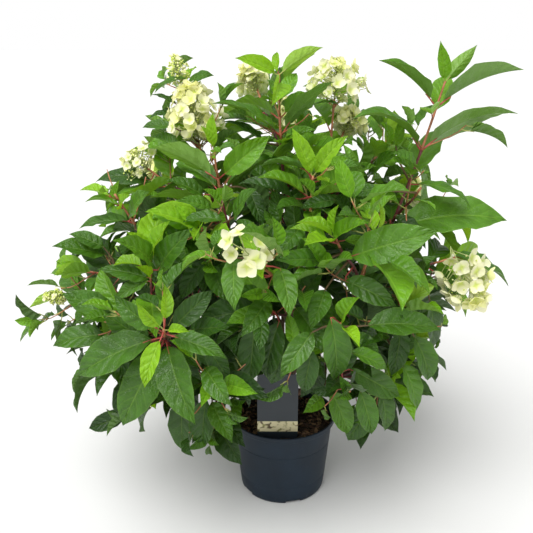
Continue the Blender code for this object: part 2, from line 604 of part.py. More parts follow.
def given_leaf(shoots, standing, given, attempt):
    """The leaf whose blade reaches from one given point to another, on a stalk from the nearest shoot."""
    nearer = GIVEN_STEP * ((attempt + 1) // 2) * (-1) ** attempt
    start, tip = (Vector(p) + (EYE - Vector(p)).normalized() * nearer for p in given[:2])
    bend = math.radians(GIVEN_BEND)
    ahead = (tip - start).normalized()
    _, index, foot = nearest_stem(shoots, standing, start, ahead)
    light = (start - CROWN_CENTRE).normalized()
    face = light * 0.4 + Vector((0, -given[2], 1))
    face = (face - ahead * face.dot(ahead)).normalized()
    length = (tip - start).length * (bend / 2) / math.sin(bend / 2)
    leaf = {
        "foot": foot,
        "stalk": start - foot,
        "way": ahead * math.cos(bend / 2) + face * math.sin(bend / 2),
        "face": face * math.cos(bend / 2) - ahead * math.sin(bend / 2),
        "length": length,
        "width": length * AIMED_WIDTH,
        "bend": bend,
    }
    turned_back = leaf["stalk"].normalized().dot(leaf["way"]) < GIVEN_TURN
    return index, None if turned_back or not 0.004 < leaf["stalk"].length < GIVEN_STALK else leaf


def blade_place(leaf, share):
    """The midrib's point at this share of the blade, and the direction that its upper face looks."""
    bend = leaf["bend"]
    angle = bend * share
    foot = leaf["foot"] + leaf["stalk"]
    along = leaf["way"] * (math.sin(angle) / bend) - leaf["face"] * ((1 - math.cos(angle)) / bend)
    return foot + along * leaf["length"], leaf["face"] * math.cos(angle) + leaf["way"] * math.sin(angle)


def leaf_solid(leaf, extra=0.0):
    """The leaf as a loft: a point in the stem, the blade's foot, two folded stations and the tip."""
    across = leaf["way"].cross(leaf["face"])
    turns = [math.tau * (k / 3 - 0.25) for k in range(3)]
    radius = PETIOLE_RADIUS + extra
    foot = leaf["foot"] + leaf["stalk"]
    between = (leaf["stalk"].normalized() + leaf["way"]).normalized()
    first = (across - between * across.dot(between)).normalized()
    second = first.cross(between)
    rings = [[foot + (first * math.cos(a) + second * math.sin(a)) * radius for a in turns]]
    for share, breadth in BLADE_STATIONS:
        middle, up = blade_place(leaf, share)
        half = across * (leaf["width"] * breadth / 2 + extra)
        lift = up * (FOLD * leaf["width"] * breadth / 2)
        thick = up * (LEAF_THICKNESS * leaf["length"] / 2 * breadth + extra)
        rings.append([middle - thick, middle + half + lift, middle + thick, middle - half + lift])
    tip, _ = blade_place(leaf, 1.0)
    start = leaf["foot"] + leaf["stalk"].normalized() * (extra * 4 - ROOT_DEPTH)
    return loft(rings, tip + leaf["way"] * extra, start)


def solid_of(mass, shoot, points, faces):
    tree = BVHTree.FromPolygons([tuple(p) for p in points], faces)
    low = Vector([min(p[i] for p in points) for i in range(3)])
    high = Vector([max(p[i] for p in points) for i in range(3)])
    return Solid(mass, shoot, tree, low, high)


def meets(one, other):
    apart = any(one.low[i] > other.high[i] or other.low[i] > one.high[i] for i in range(3))
    return not apart and bool(one.tree.overlap(other.tree))


def shoot_solid(shoot):
    """The shoot's twig, three-sided; a leader starts just past its bough's tip."""
    whole = length_of(shoot.points)
    start = whole * BOUGH_SHARE + GAP if shoot.leader else 0.0
    radii = LEADER_RADII if shoot.leader else SHOOT_RADII
    return loft(rings_along(stretch(shoot.points, start, whole), radii, 3))


def blossom_solids(shoot):
    """The blossom on the shoot's tip: a lumpy cone of florets, or a few open florets on stalks."""
    kind = shoot.entry.get("blossom")
    if not kind:
        return []
    length, radius = shoot.entry["size"]
    tip, way = point_at(shoot.points, length_of(shoot.points))
    if kind == "nodding":
        way = (way + NOD).normalized()
    dice = random.Random(shoot.seed)
    side = way.orthogonal().normalized()
    other = way.cross(side)

    def around(share, reach, turn):
        return tip + way * (length * share) + (side * math.cos(turn) + other * math.sin(turn)) * reach

    def floret(centre, inner, size):
        up = (centre - inner).normalized()
        places = [(centre - up * size * 0.35, up), (centre, up)]
        return loft(rings_along(places, (size * 0.25, size), 4), centre + up * size * 0.25)

    solids = []
    if kind == "open":
        root = around(-0.06, 0, 0)
        for k in range(OPEN_FLORETS):
            share = dice.uniform(0.25, 1.0)
            centre = around(share, radius * (0.75 if k else 0.1), k * 2.4 + 0.4)
            solids.append(floret(centre, around(share * 0.5, 0, 0), OPEN_FLORET))
            stalk = (centre - root).normalized()
            solids.append(loft(rings_along([(root, stalk), (centre, stalk)], STALK_RADII, 3)))
        return solids
    rings = []
    for share, breadth in CONE:
        turns = [math.tau * (k + dice.uniform(-0.12, 0.12)) / CONE_SIDES for k in range(CONE_SIDES)]
        reach = radius * CONE_FILL * breadth
        rings.append([around(share, reach * dice.uniform(*CONE_LUMPS), a) for a in turns])
    solids.append(loft(rings, around(1.0, 0, 0)))
    for k in range(CONE_FLORETS):
        share = (k + 0.6) / CONE_FLORETS
        centre = around(share, radius * (0.92 - 0.45 * share), k * 2.4 + 0.4)
        solids.append(floret(centre, around(share * 0.5, 0, 0), FLORET))
    return solids


def grow():
    """All shoots, and for each mass the solids that its node is joined from."""
    shoots = grow_shoots()
    pieces = {name: [] for name in MASSES}
    grown = [solid_of("", LOOSE, *loft(guard)) for guard in (pot_guard(), tag_guard())]
    for number, shoot in enumerate(shoots):
        if shoot.leader:
            places = stretch(shoot.points, 0.0, length_of(shoot.points) * BOUGH_SHARE)
            grown.append(solid_of("", number, *loft(rings_along(places, BOUGH_RADII, 5))))
    standing, shown = [], []
    for number, shoot in enumerate(shoots):
        parts = [shoot_solid(shoot)] + blossom_solids(shoot)
        solids = [solid_of(shoot.mass, number, *part) for part in parts]
        if any(meets(a, b) for a in solids for b in grown if b.mass != shoot.mass):
            continue
        standing.append(number)
        pieces[shoot.mass] += parts
        grown += solids
        if "blossom" in shoot.entry and shoot.points[-1].y < SHOWN_BACK:
            tip, way = point_at(shoot.points, length_of(shoot.points))
            length, radius = shoot.entry["size"]
            way = (way + NOD).normalized() if shoot.entry["blossom"] == "nodding" else way
            shown.append((*(tip + way * length * 0.1), *(tip + way * length * 0.8), radius * SHOWN_BLOSSOM))

    def keep(index, leaf):
        pieces[shoots[index].mass].append(leaf_solid(leaf))
        grown.append(solid_of(shoots[index].mass, LOOSE, *leaf_solid(leaf)))

    places = [(number, index, side) for number in range(MOST_PAIRS) for index in standing for side in (0, 1)]
    taken = []
    for number, index, side in places:
        leaf = is_aimed(shoots[index], number, side) and place_leaf(shoots, grown, index, number, side, tries=1)
        if leaf:
            keep(index, leaf)
            shown.append(shown_part(leaf))
            taken.append((number, index, side))
    for given in GIVEN_LEAVES:
        for attempt in range(TRIES):
            index, leaf = given_leaf(shoots, standing, given, attempt)
            if leaf and stands_free(grown, index, *leaf_solid(leaf, CLEARANCE)):
                keep(index, leaf)
                shown.append(shown_part(leaf))
                break
    for number, index, side in places:
        shoot = shoots[index]
        if (number, index, side) in taken:
            continue
        if length_of(shoot.points) - node_depth(shoot, number) < shoot.bare + 0.02:
            continue
        if number == 0 and not shoot.has_tip_leaves:
            continue
        leaf = place_leaf(shoots, grown, index, number, side, np.array(shown))
        if leaf:
            keep(index, leaf)
    return shoots, pieces


def shown_part(leaf):
    """The strip along a leaf's midrib that is to be seen: its foot, its tip and its half width."""
    return (*(leaf["foot"] + leaf["stalk"]), *blade_place(leaf, 1.0)[0], leaf["width"] * SHOWN_WIDTH)


def hides(shown, points):
    """Whether a point stands before one of the shown strips, seen from the viewer's place."""
    eye, places = np.array(EYE), np.array([tuple(p) for p in points])
    feet, axes, widths = shown[:, :3], shown[:, 3:6] - shown[:, :3], shown[:, 6]
    sight = feet + axes / 2 - eye
    far = np.linalg.norm(sight, axis=1)
    ahead = (places - eye) @ (sight / far[:, None]).T
    seen = eye + (places - eye)[:, None, :] * (far / ahead)[:, :, None] - feet
    share = np.clip((seen * axes).sum(axis=2) / (axes * axes).sum(axis=1), 0, 1)
    aside = np.linalg.norm(seen - axes * share[:, :, None], axis=2)
    return bool(((ahead < far - SHOWN_AHEAD) & (aside < widths)).any())


def stands_free(grown, index, points, faces):
    """Whether a leaf hangs clear of the pot and meets nothing but its own shoot."""
    if any(under_crown(p) or hides_pot(p) for p in points):
        return False
    guard = solid_of("", index, points, faces)
    return not any(meets(guard, other) for other in grown if other.shoot != index)


def is_aimed(shoot, number, side):
    return (number, side) in shoot.entry.get("leaves", {})


def depth_in_crown(point):
    """0 at the crown's centre, 1 on its surface."""
    offset = point - CROWN_CENTRE
    return Vector([offset[i] / CROWN_RADII[i] for i in range(3)]).length


def in_own_space(shoots, mass, point):
    own = min((p - point).length for s in shoots if s.mass == mass for p in s.points[2:])
    others = min((p - point).length for s in shoots if s.mass != mass for p in s.points[2:])
    return own < others + SPACE_OVERLAP


def place_leaf(shoots, grown, index, number, side, shown=None, tries=TRIES):
    """A leaf that keeps to its mass's space, hides nothing that is shown and stands free, or None."""
    shoot = shoots[index]
    for attempt in range(tries):
        leaf = leaf_frame(shoot, number, side, attempt)
        middle, outer = (blade_place(leaf, share)[0] for share in (0.5, 0.8))
        points, faces = leaf_solid(leaf, CLEARANCE)
        if attempt or not is_aimed(shoot, number, side):
            if depth_in_crown(middle) < SHADE or any(in_open_sky(p) for p in points):
                continue
            if not in_own_space(shoots, shoot.mass, outer):
                continue
            if shown is not None and hides(shown, points + [middle, outer]):
                continue
        if stands_free(grown, index, points, faces):
            return leaf
    return None


def pot_guard():
    """The room of the pot and soil, which leaves stay out of."""
    up = Vector((0, 0, 1))
    places = [(up * 0.0, up), (up * (POT_HEIGHT + 0.002), up)]
    return rings_along(places, (BASE_RADIUS, RIM_RADIUS + 0.004), 24)


def under_crown(point):
    """Whether a point hangs below the crown, whose underside rises outwards."""
    return point.z < LOWEST_LEAF + UNDERSIDE_RISE * max(0, math.hypot(point.x, point.y) - 0.2)


def hides_pot(point):
    """Whether a point hangs before the tag or the pot, seen from the front and a little above."""
    tag_x, tag_y = TAG_PLACE
    tag_middle = SOIL_TOP + 0.6 * TAG_SIZE[2]
    windows = ((tag_x, TAG_SIZE[0] / 2, tag_y, tag_middle), (0, SOIL_SHOWN, 0, POT_HEIGHT))
    for x, half, y, top in windows:
        ahead = y - point.y
        if ahead > 0 and abs(point.x - x) < half and point.z < top + VIEW_SLOPE * ahead:
            return True
    return False


def in_open_sky(point):
    """Whether a point stands in one of the open rounds between the shoots, seen from the front."""
    share = -EYE.y / (point.y - EYE.y)
    x, z = EYE.x + (point.x - EYE.x) * share, EYE.z + (point.z - EYE.z) * share
    return any(math.hypot(x - a, z - b) < radius for a, b, radius in OPEN_SKY)


def tag_guard():
    """The room of the tag, with a little to spare."""
    width, thickness, height = TAG_SIZE
    x, y = TAG_PLACE
    half, deep = width / 2 + 0.001, thickness / 2 + 0.001
    corners = [(x - half, y - deep), (x + half, y - deep), (x + half, y + deep), (x - half, y + deep)]
    return [[Vector((a, b, z)) for a, b in corners] for z in (SOIL_TOP, SOIL_TOP + height + 0.001)]


def clear_scene():
    for obj in list(bpy.data.objects):
        bpy.data.objects.remove(obj, do_unlink=True)


def collection(name):
    made = bpy.data.collections.new(name)
    bpy.context.scene.collection.children.link(made)
    return made


def material(name, colour, roughness):
    made = bpy.data.materials.new(name)
    made.use_nodes = True
    made.diffuse_color = (*colour, 1)
    shader = made.node_tree.nodes["Principled BSDF"]
    shader.inputs["Base Color"].default_value = (*colour, 1)
    shader.inputs["Roughness"].default_value = roughness
    return made


def mesh_object(name, mesh, home, look):
    made = bpy.data.objects.new(name, mesh)
    home.objects.link(made)
    if look:
        mesh.materials.clear()
        mesh.materials.append(look)
    return made


def object_from(name, points, faces, home, look=None):
    mesh = bpy.data.meshes.new(name)
    mesh.from_pydata([tuple(p) for p in points], [], faces)
    return mesh_object(name, mesh, home, look)


def evaluated_copy(source, name, home, look):
    """The object with its modifiers applied, as a plain mesh in the source's place, which it takes over."""
    graph = bpy.context.evaluated_depsgraph_get()
    mesh = bpy.data.meshes.new_from_object(source.evaluated_get(graph))
    place = source.matrix_world.copy()
    bpy.data.objects.remove(source, do_unlink=True)
    made = mesh_object(name, mesh, home, look)
    made.matrix_world = place
    return made


def weld(mesh):
    edit = bmesh.new()
    edit.from_mesh(mesh)
    bmesh.ops.remove_doubles(edit, verts=edit.verts, dist=1e-6)
    bmesh.ops.recalc_face_normals(edit, faces=edit.faces)
    edit.to_mesh(mesh)
    edit.free()


def keep_outer_shell(mesh):
    """Drops sealed hollows and loose scraps: all but the connected faces that reach furthest."""
    edit = bmesh.new()
    edit.from_mesh(mesh)
    left, shells = set(edit.verts), []
    while left:
        found, edge = set(), [left.pop()]
        while edge:
            vert = edge.pop()
            found.add(vert)
            near = {e.other_vert(vert) for e in vert.link_edges} & left
            left -= near
            edge += near
        shells.append(found)
    shells.sort(key=lambda shell: max(v.co.x for v in shell) - min(v.co.x for v in shell))
    for shell in shells[:-1]:
        bmesh.ops.delete(edit, geom=list(shell), context="VERTS")
    edit.to_mesh(mesh)
    edit.free()


def boolean(target, operation, other=None, group=None):
    cut = target.modifiers.new(operation.lower(), "BOOLEAN")
    cut.operation = operation
    cut.solver = "EXACT"
    if group:
        cut.operand_type = "COLLECTION"
        cut.collection = group
    else:
        cut.object = other


def turned(name, profile, home, look):
    """A profile of (radius, height) points, run down its outer side, turned about Z."""
    points = [(radius, 0, height) for radius, height in profile]
    mesh = bpy.data.meshes.new(name)
    mesh.from_pydata(points, [(i, i + 1) for i in range(len(points) - 1)], [])
    made = mesh_object(name, mesh, home, look)
    screw = made.modifiers.new("turn", "SCREW")
    screw.steps = screw.render_steps = TURN_STEPS
    screw.use_merge_vertices = True
    screw.merge_threshold = 1e-5
    return made


def box(name, low, high, home):
    bpy.ops.mesh.primitive_cube_add(size=1)
    made = bpy.context.object
    made.name = name
    for owner in made.users_collection:
        owner.objects.unlink(made)
    home.objects.link(made)
    for vert in made.data.vertices:
        vert.co = [low[i] if vert.co[i] < 0 else high[i] for i in range(3)]
    return made


def hide(cutter):
    cutter.hide_render = True
    cutter.display_type = "WIRE"


def wall_radius(height):
    """The pot's outer radius under its rim."""
    top = RIM_RADIUS - RIM_LIP
    return BASE_RADIUS + (top - BASE_RADIUS) * height / (POT_HEIGHT - RIM_HEIGHT)


def pot_profile():
    under_rim = POT_HEIGHT - RIM_HEIGHT
    corner = [math.radians(a) for a in (0, 30, 60, 90)]
    floor = [
        (BASE_RADIUS - BASE_CORNER * (1 - math.cos(a)), BASE_CORNER * (1 - math.sin(a))) for a in corner
    ]
    outside = [
        (RIM_RADIUS - 0.0012, POT_HEIGHT),
        (RIM_RADIUS, POT_HEIGHT - 0.0015),
        (RIM_RADIUS, under_rim + 0.002),
        (wall_radius(under_rim), under_rim - 0.003),
    ]
    inside = [
        (0, WALL),
        (BASE_RADIUS - BASE_CORNER, WALL),
        (wall_radius(BASE_CORNER) - WALL, BASE_CORNER),
        (wall_radius(under_rim) - WALL, under_rim),
        (RIM_RADIUS - WALL - 0.0008, under_rim + 0.004),
        (RIM_RADIUS - WALL - 0.0004, POT_HEIGHT),
    ]
    return outside + floor + [(0, 0)], inside


def make_pot(parts, cutters):
    outside, inside = pot_profile()
    plastic = material("pot plastic", POT_COLOUR, 0.45)
    pot = turned("pot", outside + inside + outside[:1], parts, plastic)
    for i in range(DRAIN_COUNT):
        turn = math.radians(DRAIN_TURN + 360 / DRAIN_COUNT * i)
        slot = box(
            f"drain_{i}",
            (BASE_RADIUS - BASE_CORNER - WALL, -DRAIN_WIDTH / 2, -0.01),
            (BASE_RADIUS + 0.01, DRAIN_WIDTH / 2, DRAIN_HEIGHT),
            cutters,
        )
        slot.rotation_euler.z = turn
        hide(slot)
        boolean(pot, "DIFFERENCE", slot)


def make_soil(parts, cutters):
    """The root ball and bark compost, cut back at the foot so that it stays behind the drain slots."""
    floor = WALL + GAP
    shoulder = BASE_CORNER + 0.004
    foot = BASE_RADIUS - shoulder
    profile = [
        (0, SOIL_TOP),
        (wall_radius(SOIL_TOP) - floor, SOIL_TOP),
        (wall_radius(shoulder) - floor, shoulder),
        (foot, DRAIN_HEIGHT + 0.001),
        (foot, floor),
        (0, floor),
    ]
    soil = turned("soil", profile, parts, material("bark compost", SOIL_COLOUR, 0.95))
    half, deep = STAKE_WIDTH / 2 + GAP, TAG_SIZE[1] / 2 + GAP
    x, y = TAG_PLACE
    low = (x - half, y - deep, SOIL_TOP - STAKE_DEPTH - GAP)
    slot = box("stake_slot", low, (x + half, y + deep, SOIL_TOP + 0.01), cutters)
    hide(slot)
    boolean(soil, "DIFFERENCE", slot)


def make_tag(parts):
    """A flat card with rounded corners on a short stake, drawn as one outline."""
    width, thickness, height = TAG_SIZE
    half, stake = width / 2, STAKE_WIDTH / 2
    foot = GAP * 3
    outline = [(-stake, -STAKE_DEPTH + GAP), (stake, -STAKE_DEPTH + GAP), (stake, foot)]
    for x, y, first in ((half, foot, -90), (half, height, 0), (-half, height, 90), (-half, foot, 180)):
        inner_x = x - math.copysign(TAG_CORNER, x)
        inner_y = y + (TAG_CORNER if y < height / 2 else -TAG_CORNER)
        for k in range(5):
            a = math.radians(first + 90 * k / 4)
            outline.append((inner_x + TAG_CORNER * math.cos(a), inner_y + TAG_CORNER * math.sin(a)))
    outline.append((-stake, foot))
    curve = bpy.data.curves.new("tag", "CURVE")
    curve.dimensions = "2D"
    curve.fill_mode = "BOTH"
    curve.extrude = thickness / 2
    line = curve.splines.new("POLY")
    line.points.add(len(outline) - 1)
    for point, (x, y) in zip(line.points, outline):
        point.co = (x, y, 0, 1)
    line.use_cyclic_u = True
    tag = bpy.data.objects.new("tag", curve)
    parts.objects.link(tag)
    curve.materials.append(material("tag card", TAG_COLOUR, 0.5))
    tag.location = (*TAG_PLACE, SOIL_TOP)
    tag.rotation_euler.x = math.pi / 2


def tube(name, places, radii, home):
    """A round limb: a curve through the places with its own radius at each."""
    curve = bpy.data.curves.new(name, "CURVE")
    curve.dimensions = "3D"
    curve.bevel_depth = 1.0
    curve.bevel_resolution = 2
    curve.use_fill_caps = True
    line = curve.splines.new("POLY")
    line.points.add(len(places) - 1)
    for point, place, radius in zip(line.points, places, radii):
        point.co = (*place, 1)
        point.radius = radius
    made = bpy.data.objects.new(name, curve)
    home.objects.link(made)
    return made


def make_trunk(parts, cutters, bark):
    """The stool: a short flared stem cut flat at the soil, under the knob that the boughs leave."""
    foot = SOIL_TOP + GAP
    places = [Vector((0, 0, foot + height)) for height, _ in STOOL_PROFILE]
    stem = tube("stool_stem", places, [radius for _, radius in STOOL_PROFILE], cutters)
    bpy.context.view_layer.update()
    trunk = evaluated_copy(stem, "trunk", parts, bark)
    weld(trunk.data)
    bpy.ops.mesh.primitive_uv_sphere_add(segments=18, ring_count=10, radius=HEAD_RADIUS)
    knob = bpy.context.object
    knob.name = "stool_head"
    for owner in knob.users_collection:
        owner.objects.unlink(knob)
    cutters.objects.link(knob)
    knob.location = (0, 0, SOIL_TOP + HEAD_HEIGHT)
    hide(knob)
    boolean(trunk, "UNION", knob)


def make_boughs(parts, shoots, bark):
    for shoot in shoots:
        if not shoot.leader:
            continue
        end = length_of(shoot.points) * BOUGH_SHARE
        places = [place for place, _ in stretch(shoot.points, 0, end)]
        count = len(places) - 1
        radii = [BOUGH_RADII[0] + (BOUGH_RADII[1] - BOUGH_RADII[0]) * i / count for i in range(count + 1)]
        bough = tube(f"bough_{shoot.mass}", places, radii, parts)
        bough.data.materials.append(bark)


def make_masses(parts, pieces, leafage):
    for name, solids in pieces.items():
        group = collection(f"pieces_{name}")
        stem = object_from(f"stem_{name}", *solids[0], parts)
        for i, solid in enumerate(solids[1:]):
            object_from(f"piece_{name}_{i}", *solid, group)
        boolean(stem, "UNION", group=group)
        bpy.context.view_layer.update()
        mass = evaluated_copy(stem, f"foliage_{name}", parts, leafage)
        for piece in list(group.objects):
            bpy.data.objects.remove(piece, do_unlink=True)
        bpy.data.collections.remove(group)
        keep_outer_shell(mass.data)


def main():
    clear_scene()
    parts, cutters = collection("potted_hydrangea"), collection("cutters")
    bark = material("bark", BARK_COLOUR, 0.75)
    make_pot(parts, cutters)
    make_soil(parts, cutters)
    make_tag(parts)
    make_trunk(parts, cutters, bark)
    shoots, pieces = grow()
    make_boughs(parts, shoots, bark)
    make_masses(parts, pieces, material("leaves", LEAF_COLOUR, 0.5))


if __name__ == "__main__":
    main()
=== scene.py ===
# A panicle hydrangea in its nursery pot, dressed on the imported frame.
# Metres, +Z up, the origin at the centre of the pot's underside, the tag towards -Y.
import json
import math
import random

import bmesh
import bpy
import numpy as np
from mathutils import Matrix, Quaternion, Vector
from mathutils.bvhtree import BVHTree
from mathutils.geometry import intersect_point_line

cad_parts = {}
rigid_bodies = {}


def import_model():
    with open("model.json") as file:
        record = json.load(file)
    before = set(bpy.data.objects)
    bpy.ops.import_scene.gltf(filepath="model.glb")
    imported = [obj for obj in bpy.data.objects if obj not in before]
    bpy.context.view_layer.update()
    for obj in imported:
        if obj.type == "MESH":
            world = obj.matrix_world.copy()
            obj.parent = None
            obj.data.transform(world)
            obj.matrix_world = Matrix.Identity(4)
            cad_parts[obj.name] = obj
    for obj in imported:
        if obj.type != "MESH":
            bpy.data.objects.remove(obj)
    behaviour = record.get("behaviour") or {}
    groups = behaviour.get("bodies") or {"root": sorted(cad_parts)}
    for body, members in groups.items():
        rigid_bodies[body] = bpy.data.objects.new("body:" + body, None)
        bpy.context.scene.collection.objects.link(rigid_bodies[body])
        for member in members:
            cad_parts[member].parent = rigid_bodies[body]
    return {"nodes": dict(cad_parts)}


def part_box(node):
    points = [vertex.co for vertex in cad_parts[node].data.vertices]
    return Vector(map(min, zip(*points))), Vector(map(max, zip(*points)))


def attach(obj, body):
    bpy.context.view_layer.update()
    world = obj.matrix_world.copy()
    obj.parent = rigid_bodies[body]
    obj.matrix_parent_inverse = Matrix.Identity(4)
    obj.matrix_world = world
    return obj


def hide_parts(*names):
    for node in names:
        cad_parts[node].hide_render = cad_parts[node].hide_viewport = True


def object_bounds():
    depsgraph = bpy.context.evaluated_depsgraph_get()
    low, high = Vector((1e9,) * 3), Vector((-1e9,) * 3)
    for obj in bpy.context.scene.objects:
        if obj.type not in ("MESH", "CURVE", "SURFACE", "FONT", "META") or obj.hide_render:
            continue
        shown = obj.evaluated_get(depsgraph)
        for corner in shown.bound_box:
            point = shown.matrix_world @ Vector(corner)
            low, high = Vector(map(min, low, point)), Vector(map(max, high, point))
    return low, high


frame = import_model()
cadLow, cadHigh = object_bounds()
print("frame loaded,", len(frame["nodes"]), "nodes")


# Nodes by expression

class Link:  # a node's output, which can stand in a sum
    def __init__(self, net, socket):
        self.net = net
        self.socket = socket

    def __add__(self, other):
        return self.net.maths("ADD", self, other)

    def __sub__(self, other):
        return self.net.maths("SUBTRACT", self, other)

    def __rsub__(self, other):
        return self.net.maths("SUBTRACT", other, self)

    def __mul__(self, other):
        return self.net.maths("MULTIPLY", self, other)

    def __truediv__(self, other):
        return self.net.maths("DIVIDE", self, other)

    def output(self, which):
        return Link(self.net, self.socket.node.outputs[which])

    def ramp(self, low, high):  # 0 at low, 1 at high, smooth between
        return self.net.node(
            "ShaderNodeMapRange",
            {"interpolation_type": "SMOOTHSTEP"},
            {"Value": self, "From Min": low, "From Max": high},
        )


class Net:  # a node tree that expressions fill in
    def __init__(self, tree):
        self.tree = tree

    def node(self, kind, settings=None, sockets=None, output=0):
        made = self.tree.nodes.new(kind)
        for name, value in (settings or {}).items():
            setattr(made, name, value)
        for key, value in (sockets or {}).items():
            if isinstance(value, Link):
                self.tree.links.new(value.socket, made.inputs[key])
            else:
                made.inputs[key].default_value = value
        return Link(self, made.outputs[output]) if made.outputs else None

    def maths(self, operation, first, second=0.0):
        return self.node("ShaderNodeMath", {"operation": operation}, {0: first, 1: second})

    def vectors(self, operation, first, second=(0, 0, 0)):
        return self.node("ShaderNodeVectorMath", {"operation": operation}, {0: first, 1: second})

    def stretched(self, vector, amount):
        return self.node("ShaderNodeVectorMath", {"operation": "SCALE"}, {0: vector, "Scale": amount})

    def mix(self, amount, first, second):
        sockets = {0: amount, 6: first, 7: second}
        return self.node("ShaderNodeMix", {"data_type": "RGBA"}, sockets, output=2)


def rgba(colour):
    return (*colour, 1.0)


def shade(colour, share):
    return tuple(part * share for part in colour)


class Look(Net):  # a material
    def __init__(self, name):
        self.material = bpy.data.materials.new(name)
        self.material.use_nodes = True
        super().__init__(self.material.node_tree)
        self.tree.nodes.clear()
        self.place = self.node("ShaderNodeTexCoord", output=3)

    def noise(self, scale, detail=3.0, roughness=0.55):
        sockets = {"Vector": self.place, "Scale": scale, "Detail": detail, "Roughness": roughness}
        return self.node("ShaderNodeTexNoise", sockets=sockets)

    def cells(self, scale, feature):
        sockets = {"Vector": self.place, "Scale": scale}
        return self.node("ShaderNodeTexVoronoi", {"feature": feature}, sockets)

    def height(self):  # above the floor
        return self.node("ShaderNodeSeparateXYZ", sockets={0: self.place}, output=2)

    def uv(self):  # u, with v as its second output
        place = self.node("ShaderNodeUVMap", {"uv_map": "UVMap"})
        return self.node("ShaderNodeSeparateXYZ", sockets={0: place})

    def bump(self, height, strength, distance):
        return self.node(
            "ShaderNodeBump", sockets={"Height": height, "Strength": strength, "Distance": distance}
        )

    def finish(self, sockets, glow=None, glowShare=0.0):
        shader = self.node("ShaderNodeBsdfPrincipled", sockets=sockets)
        if glow is not None:
            through = self.node("ShaderNodeBsdfTranslucent", sockets={"Color": glow})
            shader = self.node("ShaderNodeMixShader", sockets={0: glowShare, 1: shader, 2: through})
        self.node("ShaderNodeOutputMaterial", sockets={"Surface": shader})
        return self.material


# Meshes and node modifiers

def placed(name, mesh):
    made = bpy.data.objects.new(name, mesh)
    bpy.context.scene.collection.objects.link(made)
    return made


def discard(objects):
    for obj in objects:
        bpy.data.objects.remove(obj, do_unlink=True)


def evaluatedMesh(obj):  # what its modifiers make of it, as a plain mesh
    bpy.context.view_layer.update()
    graph = bpy.context.evaluated_depsgraph_get()
    return bpy.data.meshes.new_from_object(obj.evaluated_get(graph))


def meshObject(name, points, faces, material=None, smooth=True):
    mesh = bpy.data.meshes.new(name)
    mesh.from_pydata([tuple(p) for p in points], [], faces)
    if material:
        mesh.materials.append(material)
    if smooth:
        mesh.shade_smooth()
    return placed(name, mesh)


def pointsObject(name, points, edges=(), **attributes):  # points that a node tree grows something on
    mesh = bpy.data.meshes.new(name)
    mesh.from_pydata([tuple(p) for p in points], list(edges), [])
    for key, values in attributes.items():
        values = np.array(values, np.float32)
        kind, field = ("FLOAT_VECTOR", "vector") if values.ndim == 2 else ("FLOAT", "value")
        mesh.attributes.new(key, kind, "POINT").data.foreach_set(field, values.ravel())
    return placed(name, mesh)


def setUv(mesh, uvs):  # one (u, v) for each vertex
    layer = mesh.uv_layers.new(name="UVMap")
    for loop in mesh.loops:
        layer.data[loop.index].uv = uvs[loop.vertex_index]


class GeometryTree(Net):
    def __init__(self, name, inputs):
        super().__init__(bpy.data.node_groups.new(name, "GeometryNodeTree"))
        face = self.tree.interface
        face.new_socket("Geometry", in_out="OUTPUT", socket_type="NodeSocketGeometry")
        face.new_socket("Geometry", in_out="INPUT", socket_type="NodeSocketGeometry")
        self.sockets = {}
        for key, kind in inputs.items():
            self.sockets[key] = face.new_socket(key, in_out="INPUT", socket_type=f"NodeSocket{kind}")
        self.start = self.node("NodeGroupInput")

    def given(self, key):
        return self.start.output(key)

    def attribute(self, name, kind="FLOAT"):
        return self.node("GeometryNodeInputNamedAttribute", {"data_type": kind}, {"Name": name})

    def close(self, geometry):
        geometry = self.node("GeometryNodeRealizeInstances", sockets={0: geometry})
        geometry = self.node(
            "GeometryNodeSetMaterial", sockets={"Geometry": geometry, "Material": self.given("Finish")}
        )
        self.node("NodeGroupOutput", sockets={0: geometry})

    def grow(self, source, **inputs):  # runs the tree on an object and returns a plain mesh
        modifier = source.modifiers.new(self.tree.name, "NODES")
        modifier.node_group = self.tree
        for key, value in inputs.items():
            modifier[self.sockets[key].identifier] = value
        mesh, name = evaluatedMesh(source), source.name
        discard([source])
        for attribute in list(mesh.attributes):
            needed = attribute.name in ("UVMap", "sharp_face", "material_index")
            if not needed and not attribute.is_internal and not attribute.is_required:
                mesh.attributes.remove(attribute)
        return placed(name, mesh)


def limbTree():  # tubes along edge chains, each point with its own radius, with a bark relief
    tree = GeometryTree("limbs", {"Sides": "Int", "Relief": "Float", "Grain": "Float", "Finish": "Material"})
    curve = tree.node("GeometryNodeMeshToCurve", sockets={0: tree.given("Geometry")})
    ring = tree.node(
        "GeometryNodeCurvePrimitiveCircle", sockets={"Resolution": tree.given("Sides"), "Radius": 1.0}
    )
    tube = tree.node(
        "GeometryNodeCurveToMesh",
        sockets={
            "Curve": curve, "Profile Curve": ring, "Scale": tree.attribute("thickness"), "Fill Caps": True,
        },
    )
    tube = tree.node("GeometryNodeMergeByDistance", sockets={"Geometry": tube, "Distance": 0.00002})
    where = tree.vectors("MULTIPLY", tree.node("GeometryNodeInputPosition"), (1, 1, 0.35))
    bark = tree.node(
        "ShaderNodeTexNoise", sockets={"Vector": where, "Scale": tree.given("Grain"), "Detail": 2.0}
    )
    outwards = tree.stretched(tree.node("GeometryNodeInputNormal"), (bark - 0.5) * tree.given("Relief"))
    tube = tree.node("GeometryNodeSetPosition", sockets={"Geometry": tube, "Offset": outwards})
    tree.close(tree.node("GeometryNodeSetShadeSmooth", sockets={"Geometry": tube}))
    return tree


